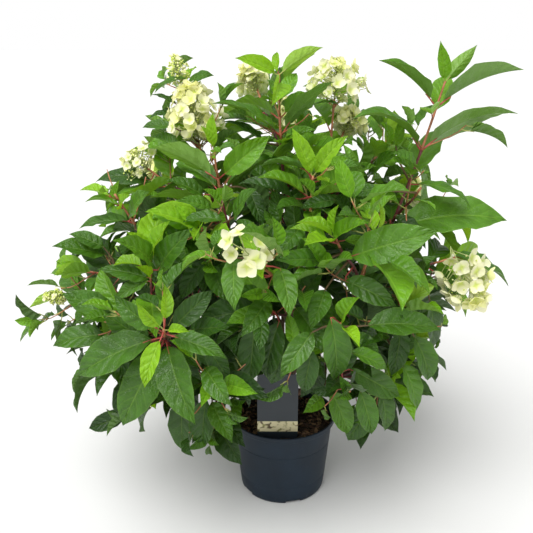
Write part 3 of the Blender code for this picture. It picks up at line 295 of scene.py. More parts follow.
def copyTree():  # one of several shapes on each point, turned and sized by the point's attributes
    tree = GeometryTree("copies", {"Shapes": "Collection", "Finish": "Material"})
    shapes = tree.node(
        "GeometryNodeCollectionInfo",
        sockets={0: tree.given("Shapes"), "Separate Children": True, "Reset Children": True},
    )
    copies = tree.node(
        "GeometryNodeInstanceOnPoints",
        sockets={
            "Points": tree.given("Geometry"),
            "Instance": shapes,
            "Pick Instance": True,
            "Instance Index": tree.attribute("which"),
            "Rotation": tree.attribute("turn", "FLOAT_VECTOR"),
            "Scale": tree.attribute("size", "FLOAT_VECTOR"),
        },
    )
    tree.close(copies)
    return tree


def bladeTree():  # lays the flat blade along each leaf's own bent, folded and twisted midrib
    tree = GeometryTree("blades", {"Blade": "Object", "Finish": "Material"})
    blade = tree.node("GeometryNodeObjectInfo", sockets={0: tree.given("Blade")}, output="Geometry")
    copies = tree.node(
        "GeometryNodeInstanceOnPoints", sockets={"Points": tree.given("Geometry"), "Instance": blade}
    )
    leaves = tree.node("GeometryNodeRealizeInstances", sockets={0: copies})
    flat = tree.attribute("flat", "FLOAT_VECTOR")
    way, face = tree.attribute("way", "FLOAT_VECTOR"), tree.attribute("face", "FLOAT_VECTOR")
    length, width, bend = (tree.attribute(key) for key in ("length", "width", "bend"))
    parts = tree.node("ShaderNodeSeparateXYZ", sockets={0: flat})
    across, along, ridge = parts, parts.output(1), parts.output(2)
    angle = bend * along
    sine, cosine = tree.maths("SINE", angle), tree.maths("COSINE", angle)
    up = tree.vectors("ADD", tree.stretched(face, cosine), tree.stretched(way, sine))
    side = tree.vectors("CROSS_PRODUCT", way, face)
    twist = tree.attribute("twist") * along
    turnSine, turnCosine = tree.maths("SINE", twist), tree.maths("COSINE", twist)
    leanSide = tree.vectors("ADD", tree.stretched(side, turnCosine), tree.stretched(up, turnSine))
    leanUp = tree.vectors("SUBTRACT", tree.stretched(up, turnCosine), tree.stretched(side, turnSine))
    reach = tree.maths("ABSOLUTE", across)
    lift = width * reach * (tree.attribute("fold") - reach * tree.attribute("curl"))
    wave = tree.maths("SINE", along * 17.0 + tree.attribute("phase") + across * 3.0)
    lift = lift + wave * reach * reach * tree.attribute("wave") * width + ridge * length
    midrib = tree.vectors(
        "SUBTRACT",
        tree.stretched(way, sine / bend * length),
        tree.stretched(face, (1.0 - cosine) / bend * length),
    )
    swing = tree.stretched(side, tree.attribute("swing") * along * along * length)
    droop = tree.stretched(leanUp, tree.attribute("droop") * along * along * along * length)
    foot = tree.vectors("SUBTRACT", tree.node("GeometryNodeInputPosition"), flat)
    sheet = tree.vectors("ADD", tree.stretched(leanSide, across * width), tree.stretched(leanUp, lift))
    sheet = tree.vectors("SUBTRACT", tree.vectors("ADD", sheet, swing), droop)
    place = tree.vectors("ADD", tree.vectors("ADD", foot, midrib), sheet)
    leaves = tree.node("GeometryNodeSetPosition", sockets={"Geometry": leaves, "Position": place})
    tree.close(leaves)
    return tree


limbs, copies, blades = limbTree(), copyTree(), bladeTree()


def hiddenCollection(name, objects):
    made = bpy.data.collections.new(name)
    for obj in objects:
        for owner in list(obj.users_collection):
            owner.objects.unlink(obj)
        made.objects.link(obj)
    return made


def spread(name, shapes, items, material):  # each item: its place, turn, size and which of the shapes
    places, turns, sizes, which = zip(*items)
    source = pointsObject(name, places, turn=turns, size=sizes, which=which)
    return copies.grow(source, Shapes=shapes, Finish=material)


# The growth rule: shoots along curves, leaves in crosswise pairs that keep clear of each other

crown = {
    "centre": Vector((-0.02, 0.0, 0.43)),
    "radii": Vector((0.40, 0.36, 0.37)),
    "lowest": 0.180,  # of a leaf, near the stem
    "rise": 0.22,  # of the crown's underside, outwards
    "shade": 0.86,  # no large leaf lies deeper than this share of the crown
    "overlap": 0.045,  # how far a mass may reach among its neighbours' shoots
    "level": 0.20,  # how far out the underside is level
    "shownTo": 0.17,  # nearer blossoms than this y aren't hidden
}
shootRule = {
    "headHeight": 0.044,
    "headRadius": 0.023,
    "boughShare": 0.30,
    "boughSpread": 27.0,  # degrees
    "boughRounds": 200,
    "boughRise": 0.16,  # at least, where a bough leaves the head
    "boughRadii": (0.0046, 0.0036),
    "leaderRadii": (0.0042, 0.0020),
    "radii": (0.0031, 0.0019),
    "sprayRadii": (0.0014, 0.0009),
    "step": 0.070,
    "pull": 0.36,
    "bareLeader": 0.030,
    "bare": 0.035,
    "branchStretch": (0.34, 0.90),
    "branchPlaces": 15,
    "branchAngle": 38,  # degrees; a sharper fork costs as much as a longer shoot
    "branchCost": 0.20,
    "fillTips": 64,
    "fillDown": 1.62,  # 2 would go down to the crown's lowest point
    "fillReach": (0.84, 0.10),  # share of the crown, and how unevenly
    "fillLowest": 0.27,
    "fillSpacing": 0.105,
    "tipBare": 0.004,
    "internodes": (0.014, 0.048, 0.060, 0.066, 0.068, 0.068, 0.068),
    "pairs": 8,
}
leafRule = {
    "growth": (0.50, 0.80, 0.96, 1.04, 1.06, 1.04),
    "spread": (24, 50, 64, 76, 86, 92),
    "bend": (12, 20, 28, 36, 46, 54),
    "length": 0.138,
    "width": 0.53,
    "turns": (-0.16, 0.16),  # this and the next six are drawn for each leaf
    "spreads": (-9, 9),  # degrees
    "rolls": (-0.30, 0.30),
    "lengths": (0.88, 1.12),
    "widths": (0.92, 1.08),
    "bends": (0.75, 1.25),
    "stalks": (0.8, 1.2),
    "retryTurn": 0.22,  # more for each new try, as the next two
    "retrySpreads": (-6, 6),
    "retryShrink": 0.05,
    "aimedWidth": 0.45,
    "soilShown": 0.064,  # to each side, that no leaf hides of the soil
    "givenStalk": 0.085,  # the longest stalk of a leaf with a given place
    "stalkAhead": 1.8,  # the smaller, the rather a stalk runs the way its blade does
    "givenTurn": -0.6,  # cosine of the sharpest turn from stalk to blade
    "givenBend": 26.0,
    "givenStep": 0.009,  # how far a new try moves such a leaf to or from the eye
    "shownWidth": 0.30,
    "thickness": 0.0125,
    "petiole": 0.020,
    "petioleRadius": 0.0010,
    "fold": 0.22,
    "lightPull": 0.32,
    "tries": 7,
    "clearance": 0.0011,  # that a leaf keeps on all sides
    "slack": -0.0004,  # instead of it, for the leaves that fill up the crown
    "secondTries": 12,
    "secondDeepest": 0.30,  # share of the crown
    "viewSlope": 0.56,
}
# The shoots of each mass, leader first: the tip, and its blossom's kind, length and radius. Where its
# pairs of leaves stand may be given as depths under the tip, and a leaf by its own tip and how far its
# face turns to the front. An older shoot has no lime tip leaves, and a grown one no young tip pair at all.
masses = {
    "right": (
        {
            "tip": (0.308, 0.02, 0.880), "turn": 90, "vigour": 1.2, "older": True,
            "depths": (0.004, 0.050, 0.074, 0.138, 0.208, 0.306),
            "leaves": {
                (0, 0): (0.283, -0.010, 0.950, 2.0), (0, 1): (0.366, 0.030, 0.946, 0.0),
                (1, 0): (0.181, 0.000, 0.925, 0.0), (1, 1): (0.458, 0.040, 0.907, 0.0),
                (2, 0): (0.260, -0.090, 0.839, 0.0), (2, 1): (0.327, 0.110, 0.891, 1.0),
                (3, 0): (0.124, -0.030, 0.837, 0.0), (3, 1): (0.443, 0.000, 0.844, 0.0),
                (4, 0): (0.370, -0.040, 0.646, 0.2), (4, 1): (0.342, 0.110, 0.780, 0.5),
                (5, 0): (0.456, 0.000, 0.604, 0.0), (5, 1): (0.210, -0.030, 0.721, 1.0),
            },
        },
        {"tip": (0.335, -0.06, 0.550), "blossom": "nodding", "size": (0.105, 0.050)},
        {"tip": (0.255, -0.07, 0.690)},
        {"tip": (0.330, 0.05, 0.640)},
    ),
    "right_back": (
        {"tip": (0.105, 0.12, 0.838), "blossom": "loose", "size": (0.080, 0.062)},
        {"tip": (0.131, 0.15, 0.770), "blossom": "loose", "size": (0.050, 0.036)},
        {"tip": (0.226, 0.16, 0.735)},
    ),
    "right_front": (
        {"tip": (0.150, -0.24, 0.650)},
        {"tip": (0.085, -0.30, 0.510), "grown": True},
        {"tip": (0.215, -0.17, 0.480), "grown": True},
        {"tip": (0.080, -0.22, 0.637)},
    ),
    "right_low": (
        {"tip": (0.265, -0.04, 0.365)},
        {"tip": (0.190, -0.15, 0.330)},
    ),
    "front": (
        {
            "tip": (0.047, -0.13, 0.724), "depths": (0.003, 0.012, 0.044, 0.072),
            "leaves": {
                (0, 0): (0.007, -0.130, 0.808, 2.0), (0, 1): (0.099, -0.140, 0.803, 2.0),
                (1, 0): (0.072, -0.190, 0.721, 0.0), (1, 1): (0.025, -0.090, 0.746, 1.0),
                (2, 0): (-0.051, -0.160, 0.736, 0.3), (2, 1): (0.122, -0.180, 0.700, 0.0),
                (3, 0): (-0.025, -0.200, 0.676, 0.0), (3, 1): (0.077, -0.210, 0.661, 0.0),
            },
        },
        {"tip": (-0.050, -0.27, 0.606), "blossom": "open", "size": (0.076, 0.031)},
        {"tip": (0.010, -0.29, 0.440), "grown": True},
        {"tip": (-0.038, -0.25, 0.520), "grown": True},
    ),
    "middle": (
        {
            "tip": (-0.012, 0.05, 0.892), "turn": 90, "depths": (0.003, 0.012, 0.087, 0.121, 0.179),
            "leaves": {
                (0, 0): (-0.095, 0.040, 0.929, 0.3), (0, 1): (0.069, 0.050, 0.950, 0.3),
                (1, 0): (-0.026, -0.065, 0.853, 0.3), (1, 1): (-0.013, 0.080, 0.936, 1.0),
                (2, 0): (-0.108, 0.120, 0.839, 0.0), (2, 1): (0.056, 0.120, 0.857, 0.0),
                (3, 0): (-0.145, 0.010, 0.838, 0.0), (3, 1): (0.102, 0.020, 0.878, 0.0),
            },
        },
        {"tip": (-0.056, 0.16, 0.856), "blossom": "loose", "size": (0.066, 0.032)},
    ),
    "left_middle": (
        {
            "tip": (-0.135, -0.06, 0.760), "depths": (0.003, 0.012, 0.058, 0.085),
            "leaves": {
                (0, 0): (-0.138, -0.060, 0.829, 2.0), (0, 1): (-0.111, -0.080, 0.817, 1.0),
                (1, 0): (-0.156, -0.090, 0.807, 1.0), (1, 1): (-0.124, -0.120, 0.754, 0.0),
                (2, 0): (-0.246, -0.080, 0.768, 0.0), (2, 1): (-0.024, -0.070, 0.785, 0.5),
            },
        },
        {"tip": (-0.150, -0.18, 0.640)},
    ),
    "left_back": (
        {"tip": (-0.174, 0.06, 0.762), "blossom": "dense", "size": (0.110, 0.054)},
        {"tip": (-0.212, 0.11, 0.870), "blossom": "bud", "size": (0.060, 0.026)},
        {"tip": (-0.284, 0.08, 0.700), "blossom": "fine", "size": (0.052, 0.050)},
    ),
    "left": (
        {"tip": (-0.330, -0.04, 0.672)},
        {
            "tip": (-0.450, -0.02, 0.450), "blossom": "bud", "size": (0.045, 0.018),
            "depths": (0.003, 0.034, 0.052),
            "leaves": {
                (1, 0): (-0.530, -0.020, 0.432, 0.0), (1, 1): (-0.439, 0.030, 0.489, 1.0),
                (2, 0): (-0.548, -0.050, 0.395, 0.3), (2, 1): (-0.398, -0.100, 0.421, 0.0),
            },
        },
        {"tip": (-0.380, -0.09, 0.530)},
    ),
    "left_front": (
        {"tip": (-0.300, -0.20, 0.480)},
        {
            "tip": (-0.201, -0.33, 0.512), "depths": (0.003, 0.012, 0.032, 0.056, 0.096),
            "leaves": {
                (0, 0): (-0.240, -0.350, 0.565, 1.0), (0, 1): (-0.155, -0.360, 0.524, 1.0),
                (1, 0): (-0.194, -0.310, 0.584, 2.0), (1, 1): (-0.231, -0.370, 0.427, 1.5),
                (2, 0): (-0.099, -0.350, 0.468, 0.7), (2, 1): (-0.285, -0.310, 0.566, 1.0),
                (3, 0): (-0.364, -0.300, 0.401, 0.7), (3, 1): (-0.121, -0.260, 0.554, 1.0),
                (4, 0): (-0.297, -0.310, 0.316, 1.0), (4, 1): (-0.151, -0.360, 0.352, 1.5),
            },
        },
        {"tip": (-0.125, -0.30, 0.400), "grown": True},
        {"tip": (-0.238, -0.21, 0.590)},
    ),
    "left_low": (
        {"tip": (-0.330, -0.08, 0.370)},
        {"tip": (-0.230, -0.19, 0.320)},
    ),
    "back": (
        {"tip": (0.020, 0.30, 0.735), "blossom": "dense", "size": (0.095, 0.042)},
        {"tip": (0.110, 0.35, 0.560)},
        {"tip": (-0.070, 0.36, 0.590)},
    ),
    "back_left": (
        {"tip": (-0.270, 0.24, 0.610), "blossom": "loose", "size": (0.090, 0.038)},
        {"tip": (-0.180, 0.33, 0.480)},
        {"tip": (-0.360, 0.15, 0.450)},
    ),
    "back_right": (
        {"tip": (0.270, 0.24, 0.580), "blossom": "dense", "size": (0.085, 0.038)},
        {"tip": (0.200, 0.31, 0.440)},
        {"tip": (0.350, 0.12, 0.450)},
    ),
}
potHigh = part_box("pot")[1]
givenLeaves = (  # millimetres: where the blade starts and ends, how far its face turns to the front, its tone, whose lighter and darker greens are painted light and painted shade
    (-89, -273, 615, -87, -348, 555, 1.2, "sunny"), (-14, -273, 597, 9, -348, 546, 1.2, "sunny"),
    (-33, -239, 528, -74, -314, 494, 1.2, "green"), (-44, -283, 513, -43, -334, 474, 1.2, "deep"),
    (55, -231, 598, -20, -263, 605, 1.2, "green"), (28, -154, 639, -20, -218, 596, 1.2, "green"),
    (63, -251, 551, 40, -315, 503, 1.2, "green"), (70, -298, 519, 87, -298, 394, 0.6, "green"),
    (39, -308, 498, -14, -353, 437, 1.2, "green"), (-14, -244, 490, -46, -244, 376, 0.6, "deep"),
    (-6, -252, 472, -21, -252, 360, 0.2, "deep"), (40, -298, 462, 25, -298, 375, 1.2, "deep"),
    (-56, -257, 489, -65, -257, 374, 0.6, "deep"), (68, -203, 321, 29, -260, 324, 1.2, "sunny"),
    (-137, -330, 444, -91, -403, 417, 1.2, "green"), (-137, -297, 470, -93, -297, 400, 1.2, "deep"),
    (79, -220, 630, 125, -281, 679, 1.2, "fresh"), (72, -224, 626, 120, -224, 612, 0.6, "fresh"),
    (97, -227, 632, 145, -227, 625, 1.2, "fresh"), (111, -215, 600, 244, -276, 653, 1.2, "sunny"),
    (100, -225, 558, 187, -266, 530, 1.2, "green"), (110, -212, 555, 189, -230, 527, 1.2, "deep"),
    (136, -272, 495, 263, -272, 497, 0.6, "green"), (226, -228, 550, 285, -228, 487, 1.2, "green"),
    (281, -99, 475, 297, -99, 347, 0.6, "deep"), (233, -196, 442, 275, -196, 344, 1.2, "green"),
    (211, -182, 452, 199, -195, 358, 1.2, "deep"), (104, -299, 458, 174, -299, 423, 0.0, "sunny"),
    (116, -216, 385, 214, -216, 326, 1.2, "green"), (211, -213, 394, 248, -213, 298, 0.6, "sunny"),
    (85, -191, 329, 125, -191, 233, 1.2, "sunny"), (132, -243, 357, 160, -243, 265, 1.2, "green"),
    (185, -150, 308, 204, -150, 210, 0.6, "green"), (67, -207, 319, 92, -207, 253, 1.2, "sunny"),
    (182, 117, 674, 229, 42, 743, 1.2, "green"), (159, 125, 696, 166, 64, 772, 1.2, "fresh"),
    (-280, 76, 677, -398, 76, 692, 1.2, "deep"), (-308, -38, 618, -409, -38, 606, 0.2, "green"),
    (-304, -36, 627, -253, -99, 696, 1.2, "sunny"), (-235, -209, 588, -273, -284, 652, 1.2, "sunny"),
    (-354, -52, 554, -448, -86, 577, 1.2, "green"), (-353, -62, 571, -420, -62, 604, 1.2, "green"),
    (-242, -201, 555, -335, -201, 574, 0.6, "green"), (-244, -207, 552, -308, -207, 520, 0.6, "sunny"),
    (-226, -206, 572, -162, -253, 653, 1.2, "green"), (-240, -209, 562, -253, -245, 592, 1.2, "young"),
    (-114, -184, 656, -187, -184, 662, 0.6, "green"), (-156, -72, 677, -219, -98, 712, 1.2, "green"),
    (-281, -89, 613, -236, -114, 643, 1.2, "fresh"), (-91, -209, 668, -53, -270, 732, 1.2, "green"),
    (10, -135, 685, -87, -135, 717, 0.2, "deep"), (32, -137, 737, -51, -137, 753, 0.0, "green"),
    (-45, 38, 765, -124, 38, 808, 0.6, "deep"), (-224, 40, 791, -286, 40, 792, 1.2, "green"),
    (-221, 89, 817, -274, 58, 808, 1.2, "deep"), (-196, 100, 874, -141, 53, 890, 1.2, "green"),
    (-138, 20, 844, -96, 20, 889, 1.2, "deep"), (-220, 84, 832, -270, 84, 855, 0.6, "deep"),
    (-200, 101, 880, -270, 101, 858, 0.2, "green"), (-358, -88, 397, -474, -88, 384, 1.2, "green"),
    (-330, -199, 439, -359, -250, 396, 1.2, "deep"), (-246, -229, 445, -317, -270, 518, 1.2, "green"),
    (-195, -182, 308, -201, -182, 187, 0.6, "deep"), (-144, -255, 348, -152, -255, 239, 0.6, "deep"),
    (-133, -261, 343, -97, -320, 295, 1.2, "green"), (217, 112, 741, 203, 75, 797, 1.2, "fresh"),
    (217, 4, 758, 222, 4, 814, 1.2, "fresh"), (276, 18, 781, 218, -13, 753, 1.2, "green"),
    (170, -97, 692, 102, -97, 686, 1.2, "green"), (334, -58, 552, 456, -58, 500, 0.2, "green"),
    (113, 115, 829, 59, 115, 831, 0.6, "green"), (-325, -41, 650, -389, -41, 666, 0.2, "fresh"),
    (-319, -42, 643, -290, -89, 682, 1.2, "young"), (-329, -38, 654, -320, -38, 699, 0.6, "fresh"),
    (-193, -195, 686, -144, -195, 605, 1.2, "green"), (-169, -245, 475, -99, -307, 502, 1.2, "deep"),
    (26, -153, 496, 60, -218, 576, 1.2, "deep"), (-67, -87, 689, -44, -135, 629, 1.2, "deep"),
    (-147, -168, 578, -195, -168, 501, 1.2, "deep"), (220, -12, 623, 276, -51, 562, 1.2, "deep"),
    (85, -156, 686, 22, -184, 678, 1.2, "deep"),
)
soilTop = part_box("soil")[1].z
tagLow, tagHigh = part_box("tag")
gap = 0.0003  # between two solids
eye = Vector((-0.036, -1.35, 0.95))
openSky = (  # rounds between the shoots that leaves stay out of, seen from the eye: x and z at y = 0, radius
    (-0.27, 0.93, 0.044), (-0.52, 0.53, 0.043), (-0.42, 0.72, 0.046), (0.39, 0.72, 0.046),
    (-0.06, 0.97, 0.042), (0.39, 0.32, 0.049), (-0.44, 0.64, 0.046), (-0.32, 0.79, 0.043),
    (0.24, 0.95, 0.032), (-0.12, 0.92, 0.028), (0.33, 0.73, 0.030), (0.20, 0.87, 0.037),
    (0.40, 0.95, 0.042), (-0.47, 0.28, 0.029), (0.31, 0.66, 0.019), (-0.39, 0.23, 0.024),
    (-0.15, 0.94, 0.026), (-0.10, 0.94, 0.024), (-0.39, 0.04, 0.043),
    (-0.30, 0.01, 0.046), (-0.21, -0.00, 0.048), (-0.14, 0.02, 0.034),
    (0.16, 0.04, 0.041), (0.27, 0.07, 0.045), (0.35, 0.14, 0.040),
    (0.40, 0.23, 0.044), (-0.19, 0.96, 0.026), (-0.24, 0.95, 0.030),
    (-0.28, 0.14, 0.028), (0.42, 0.67, 0.041), (0.00, 0.97, 0.037), (0.33, 0.85, 0.018),
    (-0.38, 0.75, 0.046), (0.41, 0.58, 0.027),
)


def curvePoints(start, startWay, end, endWay, step=shootRule["step"]):
    pull = shootRule["pull"] * (end - start).length
    near, far = start + startWay * pull, end - endWay * pull
    count = max(3, round(1.05 * (end - start).length / step))
    line = []
    for i in range(count + 1):
        t = i / count
        s = 1 - t
        line.append(s**3 * start + 3 * s * s * t * near + 3 * s * t * t * far + t**3 * end)
    return line


def lengthOf(line):
    return sum((b - a).length for a, b in zip(line, line[1:]))


def pointAt(line, distance):
    for a, b in zip(line, line[1:]):
        step = (b - a).length
        if distance <= step:
            break
        distance -= step
    else:
        distance = step
    way = (b - a).normalized()
    return a + way * distance, way


def stretch(line, start, end):
    kept, passed = [pointAt(line, start)[0]], 0.0
    for a, b in zip(line, line[1:]):
        passed += (b - a).length
        if start + 0.004 < passed < end - 0.004:
            kept.append(b)
    kept.append(pointAt(line, end)[0])
    ways = [(b - a).normalized() for a, b in zip(kept, kept[1:])]
    ways = [ways[0]] + [(a + b).normalized() for a, b in zip(ways, ways[1:])] + [ways[-1]]
    return list(zip(kept, ways))


def circle(centre, side, other, radius, sides, start=0.0):
    turns = [math.tau * (k / sides + start) for k in range(sides)]
    return [centre + (side * math.cos(a) + other * math.sin(a)) * radius for a in turns]


def ringsAlong(places, radii, sides):
    side, rings = places[0][1].orthogonal().normalized(), []
    for i, (centre, way) in enumerate(places):
        side = (side - way * side.dot(way)).normalized()
        other = way.cross(side)
        radius = radii[0] + (radii[1] - radii[0]) * i / (len(places) - 1)
        rings.append(circle(centre, side, other, radius, sides))
    return rings


def bridge(first, second):  # triangles between two rings that may have unlike counts
    i, j, faces = 0, 0, []
    while i < len(first) or j < len(second):
        a, b = first[i % len(first)], second[j % len(second)]
        if j == len(second) or (i < len(first) and (i + 1) * len(second) <= (j + 1) * len(first)):
            i += 1
            faces.append((a, first[i % len(first)], b))
        else:
            j += 1
            faces.append((a, second[j % len(second)], b))
    return faces


def loft(rings, tip=None, root=None):  # each end is a cap, or comes to a point
    points, numbered, faces = [p for ring in rings for p in ring], [], []
    for ring in rings:
        first = numbered[-1][-1] + 1 if numbered else 0
        numbered.append(list(range(first, first + len(ring))))
    for a, b in zip(numbered, numbered[1:]):
        faces += bridge(a, b)
    for ring, end in ((numbered[0][::-1], root), (numbered[-1], tip)):
        if end is None:
            faces.append(tuple(ring))
        else:
            points.append(end)
            faces += [(a, b, len(points) - 1) for a, b in zip(ring, ring[1:] + ring[:1])]
    return points, faces


def startWays(tips):  # how each bough leaves the head: towards its tip, then pushed apart
    origin = Vector((0, 0, soilTop + shootRule["headHeight"]))
    ways = [((tip - origin) * Vector((1, 1, 1.5))).normalized() for tip in tips]
    room = math.radians(shootRule["boughSpread"])
    for _ in range(shootRule["boughRounds"]):
        for i, way in enumerate(ways):
            push = Vector()
            for j, other in enumerate(ways):
                if i != j and way.angle(other) < room:
                    push += (way - other).normalized() * (room - way.angle(other))
            moved = way + push * 0.4
            moved.z = max(moved.z, shootRule["boughRise"])
            ways[i] = moved.normalized()
    return ways


def upright(way):  # how a shoot ends: the flatter it ran, the more it leans
    share = min(1.1, 0.4 + 2.6 * (1 - abs(way.z) / way.length))
    return Vector((way.x * share, way.y * share, abs(way.z) + 0.06)).normalized()


def sideShoot(leader, tip):
    whole = lengthOf(leader["line"])
    first, last = shootRule["branchStretch"]
    best = None
    for i in range(1, shootRule["branchPlaces"]):
        distance = whole * (first + (last - first) * i / shootRule["branchPlaces"])
        place, direction = pointAt(leader["line"], distance)
        way = tip - place
        sharp = max(0, direction.angle(way) - math.radians(shootRule["branchAngle"]))
        cost = way.length + shootRule["branchCost"] * sharp
        if best is None or cost < best[0]:
            best = (cost, place, direction, way)
    _, place, direction, way = best
    return curvePoints(place, (direction + way.normalized()).normalized(), tip, upright(way))


def fillTips(taken):  # spread over the crown by the golden angle
    found = []
    for i in range(shootRule["fillTips"]):
        up = 1.0 - shootRule["fillDown"] * (i + 0.5) / shootRule["fillTips"]
        turn = i * math.pi * (3 - math.sqrt(5))
        flat = math.sqrt(1 - up * up)
        way = Vector((flat * math.cos(turn), flat * math.sin(turn), up))
        least, wave = shootRule["fillReach"]
        tip = crown["centre"] + way * crown["radii"] * (least + wave * math.sin(7.3 * i))
        tip.z = max(tip.z, shootRule["fillLowest"])
        near = any((tip - other).length <= shootRule["fillSpacing"] for other in taken + found)
        if not near and not hidesPot(tip):
            found.append(tip)
    return found


def growShoots():
    leaders = {name: Vector(entries[0]["tip"]) for name, entries in masses.items()}
    head = Vector((0, 0, soilTop + shootRule["headHeight"]))
    shoots = []

    def add(mass, line, leader, bare, entry):
        number = len(shoots)
        shoots.append({
            "mass": mass, "line": line, "leader": leader, "bare": bare, "entry": entry,
            "phase": math.radians(entry.get("turn", 137.5 * number)),
            "vigour": entry.get("vigour", 1.0 + 0.07 * math.sin(1.7 * number)),
            "seed": 1000 + number, "spray": False,
        })

    for (name, tip), way in zip(leaders.items(), startWays(list(leaders.values()))):
        start = head + way * (shootRule["headRadius"] + gap)
        line = curvePoints(start, way, tip, upright(tip - head))
        bare = lengthOf(line) * shootRule["boughShare"] + shootRule["bareLeader"]
        add(name, line, True, bare, masses[name][0])
    byName = {shoot["mass"]: shoot for shoot in shoots}
    for name, entries in masses.items():
        for entry in entries[1:]:
            add(name, sideShoot(byName[name], Vector(entry["tip"])), False, shootRule["bare"], entry)
    for tip in fillTips([shoot["line"][-1] for shoot in shoots]):
        near = min(byName.values(), key=lambda leader: min((p - tip).length for p in leader["line"][3:]))
        add(near["mass"], sideShoot(near, tip), False, shootRule["bare"], {})
    return shoots


def nodeDepth(shoot, number):  # how far under the shoot's tip a pair of leaves stands
    given = shoot["entry"].get("depths", (shootRule["tipBare"],))
    if number < len(given):
        return given[number]
    return given[-1] + sum(shootRule["internodes"][len(given) - 1:number]) * shoot["vigour"]


def aimed(leaf, target):  # the leaf turned and drawn out so that its tip comes to a given point
    x, y, z, front = target
    chord, bend = Vector((x, y, z)) - leaf["foot"], leaf["bend"]
    ahead = chord.normalized()
    face = leaf["face"] - Vector((0, front, 0))
    face = (face - ahead * face.dot(ahead)).normalized()
    length = (chord.length - leaf["stalk"].length) * (bend / 2) / math.sin(bend / 2)
    way = ahead * math.cos(bend / 2) + face * math.sin(bend / 2)
    return {
        **leaf,
        "way": way,
        "stalk": way * leaf["stalk"].length,
        "face": face * math.cos(bend / 2) - ahead * math.sin(bend / 2),
        "width": length * leafRule["aimedWidth"],
        "length": length,
    }


def hasTipLeaves(shoot):
    return bool(shoot["entry"]) and "blossom" not in shoot["entry"] and "grown" not in shoot["entry"]


def isAimed(shoot, number, side):
    return (number, side) in shoot["entry"].get("leaves", {})


def leafFrame(shoot, number, side, attempt):
    dice = random.Random(shoot["seed"] * 1009 + number * 31 + side * 7 + attempt)
    age = min(number, len(leafRule["growth"]) - 1)
    vigour = shoot["vigour"]
    distance = lengthOf(shoot["line"]) - nodeDepth(shoot, number)
    foot, stem = pointAt(shoot["line"], distance)
    foot = foot + stem * (0.0011 * side + 0.0004 * attempt)
    turn = shoot["phase"] + number * math.pi / 2 + side * math.pi + dice.uniform(*leafRule["turns"])
    turn += attempt * leafRule["retryTurn"] * (-1) ** attempt
    across = (Vector((1, 0, 0)) - stem * stem.x).normalized()
    out = Quaternion(stem, turn) @ across
    wider = dice.uniform(*leafRule["spreads"]) + attempt * dice.uniform(*leafRule["retrySpreads"])
    spreadBy = math.radians(leafRule["spread"][age] + wider)
    way = stem * math.cos(spreadBy) + out * math.sin(spreadBy)
    light = (foot - crown["centre"]) * Vector((1, 1, 0.5))
    light = light.normalized() + Vector((0, 0, 0.30))
    way = (way + light * leafRule["lightPull"] * min(1.0, age / 2)).normalized()
    face = stem + Vector((0, 0, 0.7 * min(age, 3))) + light * 0.3
    face = (face - way * face.dot(way)).normalized()
    face = Quaternion(way, dice.uniform(*leafRule["rolls"])) @ face
    size = vigour * leafRule["length"] * leafRule["growth"][age] * dice.uniform(*leafRule["lengths"])
    size *= 1 - leafRule["retryShrink"] * attempt
    width = size * leafRule["width"] * dice.uniform(*leafRule["widths"])
    bend = math.radians(leafRule["bend"][age] * dice.uniform(*leafRule["bends"]))
    stalk = leafRule["petiole"] * dice.uniform(*leafRule["stalks"]) * (min(1.0, vigour + 0.2) if age else 0.5)
    leaf = {
        "foot": foot, "way": way, "face": face, "length": size, "age": age, "width": width,
        "bend": bend, "stalk": way * stalk, "shoot": shoot, "tone": None,
    }
    target = shoot["entry"].get("leaves", {}).get((number, side))
    return aimed(leaf, target) if target and attempt == 0 else leaf


def nearestStem(shoots, standing, point, ahead):  # the shoot nearest to a blade's foot, best behind it
    best = (math.inf, None, None)
    for index in standing:
        shoot, walked = shoots[index], 0.0
        for a, b in zip(shoot["line"], shoot["line"][1:]):
            step = (b - a).length
            first = (shoot["bare"] - 0.02 - walked) / step
            walked += step
            if first < 1.0:
                share = intersect_point_line(point, a, b)[1]
                last = 1.0 - (shootRule["tipBare"] / step if b is shoot["line"][-1] else 0.0)
                place = a.lerp(b, max(0.0, first, min(last, share)))
                way = point - place
                cost = leafRule["stalkAhead"] * way.length - way.dot(ahead)
                best = min(best, (cost, index, place), key=lambda found: found[0])
    return best


def givenLeaf(shoots, standing, given, attempt):
    places, (front, tone) = [value / 1000 for value in given[:6]], given[6:]
    nearer = leafRule["givenStep"] * ((attempt + 1) // 2) * (-1) ** attempt
    start, tip = (p + (eye - p).normalized() * nearer for p in (Vector(places[:3]), Vector(places[3:])))
    bend = math.radians(leafRule["givenBend"])
    ahead = (tip - start).normalized()
    index, foot = nearestStem(shoots, standing, start, ahead)[1:]
    light = (start - crown["centre"]).normalized()
    face = light * 0.4 + Vector((0, -front, 1))
    face = (face - ahead * face.dot(ahead)).normalized()
    length = (tip - start).length * (bend / 2) / math.sin(bend / 2)
    leaf = {
        "foot": foot, "stalk": start - foot, "bend": bend,
        "length": length, "width": length * leafRule["aimedWidth"],
        "way": ahead * math.cos(bend / 2) + face * math.sin(bend / 2),
        "face": face * math.cos(bend / 2) - ahead * math.sin(bend / 2),
        "age": 1 if tone in ("young", "fresh") else 3, "tone": tone, "shoot": shoots[index],
        "depth": depthInCrown((start + tip) / 2),
    }
    turnedBack = leaf["stalk"].normalized().dot(leaf["way"]) < leafRule["givenTurn"]
    return index, None if turnedBack or not 0.004 < leaf["stalk"].length < leafRule["givenStalk"] else leaf


def bladePlace(leaf, share):
    angle = leaf["bend"] * share
    start = leaf["foot"] + leaf["stalk"]
    rise, drop = math.sin(angle) / leaf["bend"], (1 - math.cos(angle)) / leaf["bend"]
    place = start + (leaf["way"] * rise - leaf["face"] * drop) * leaf["length"]
    return place, leaf["face"] * math.cos(angle) + leaf["way"] * math.sin(angle)


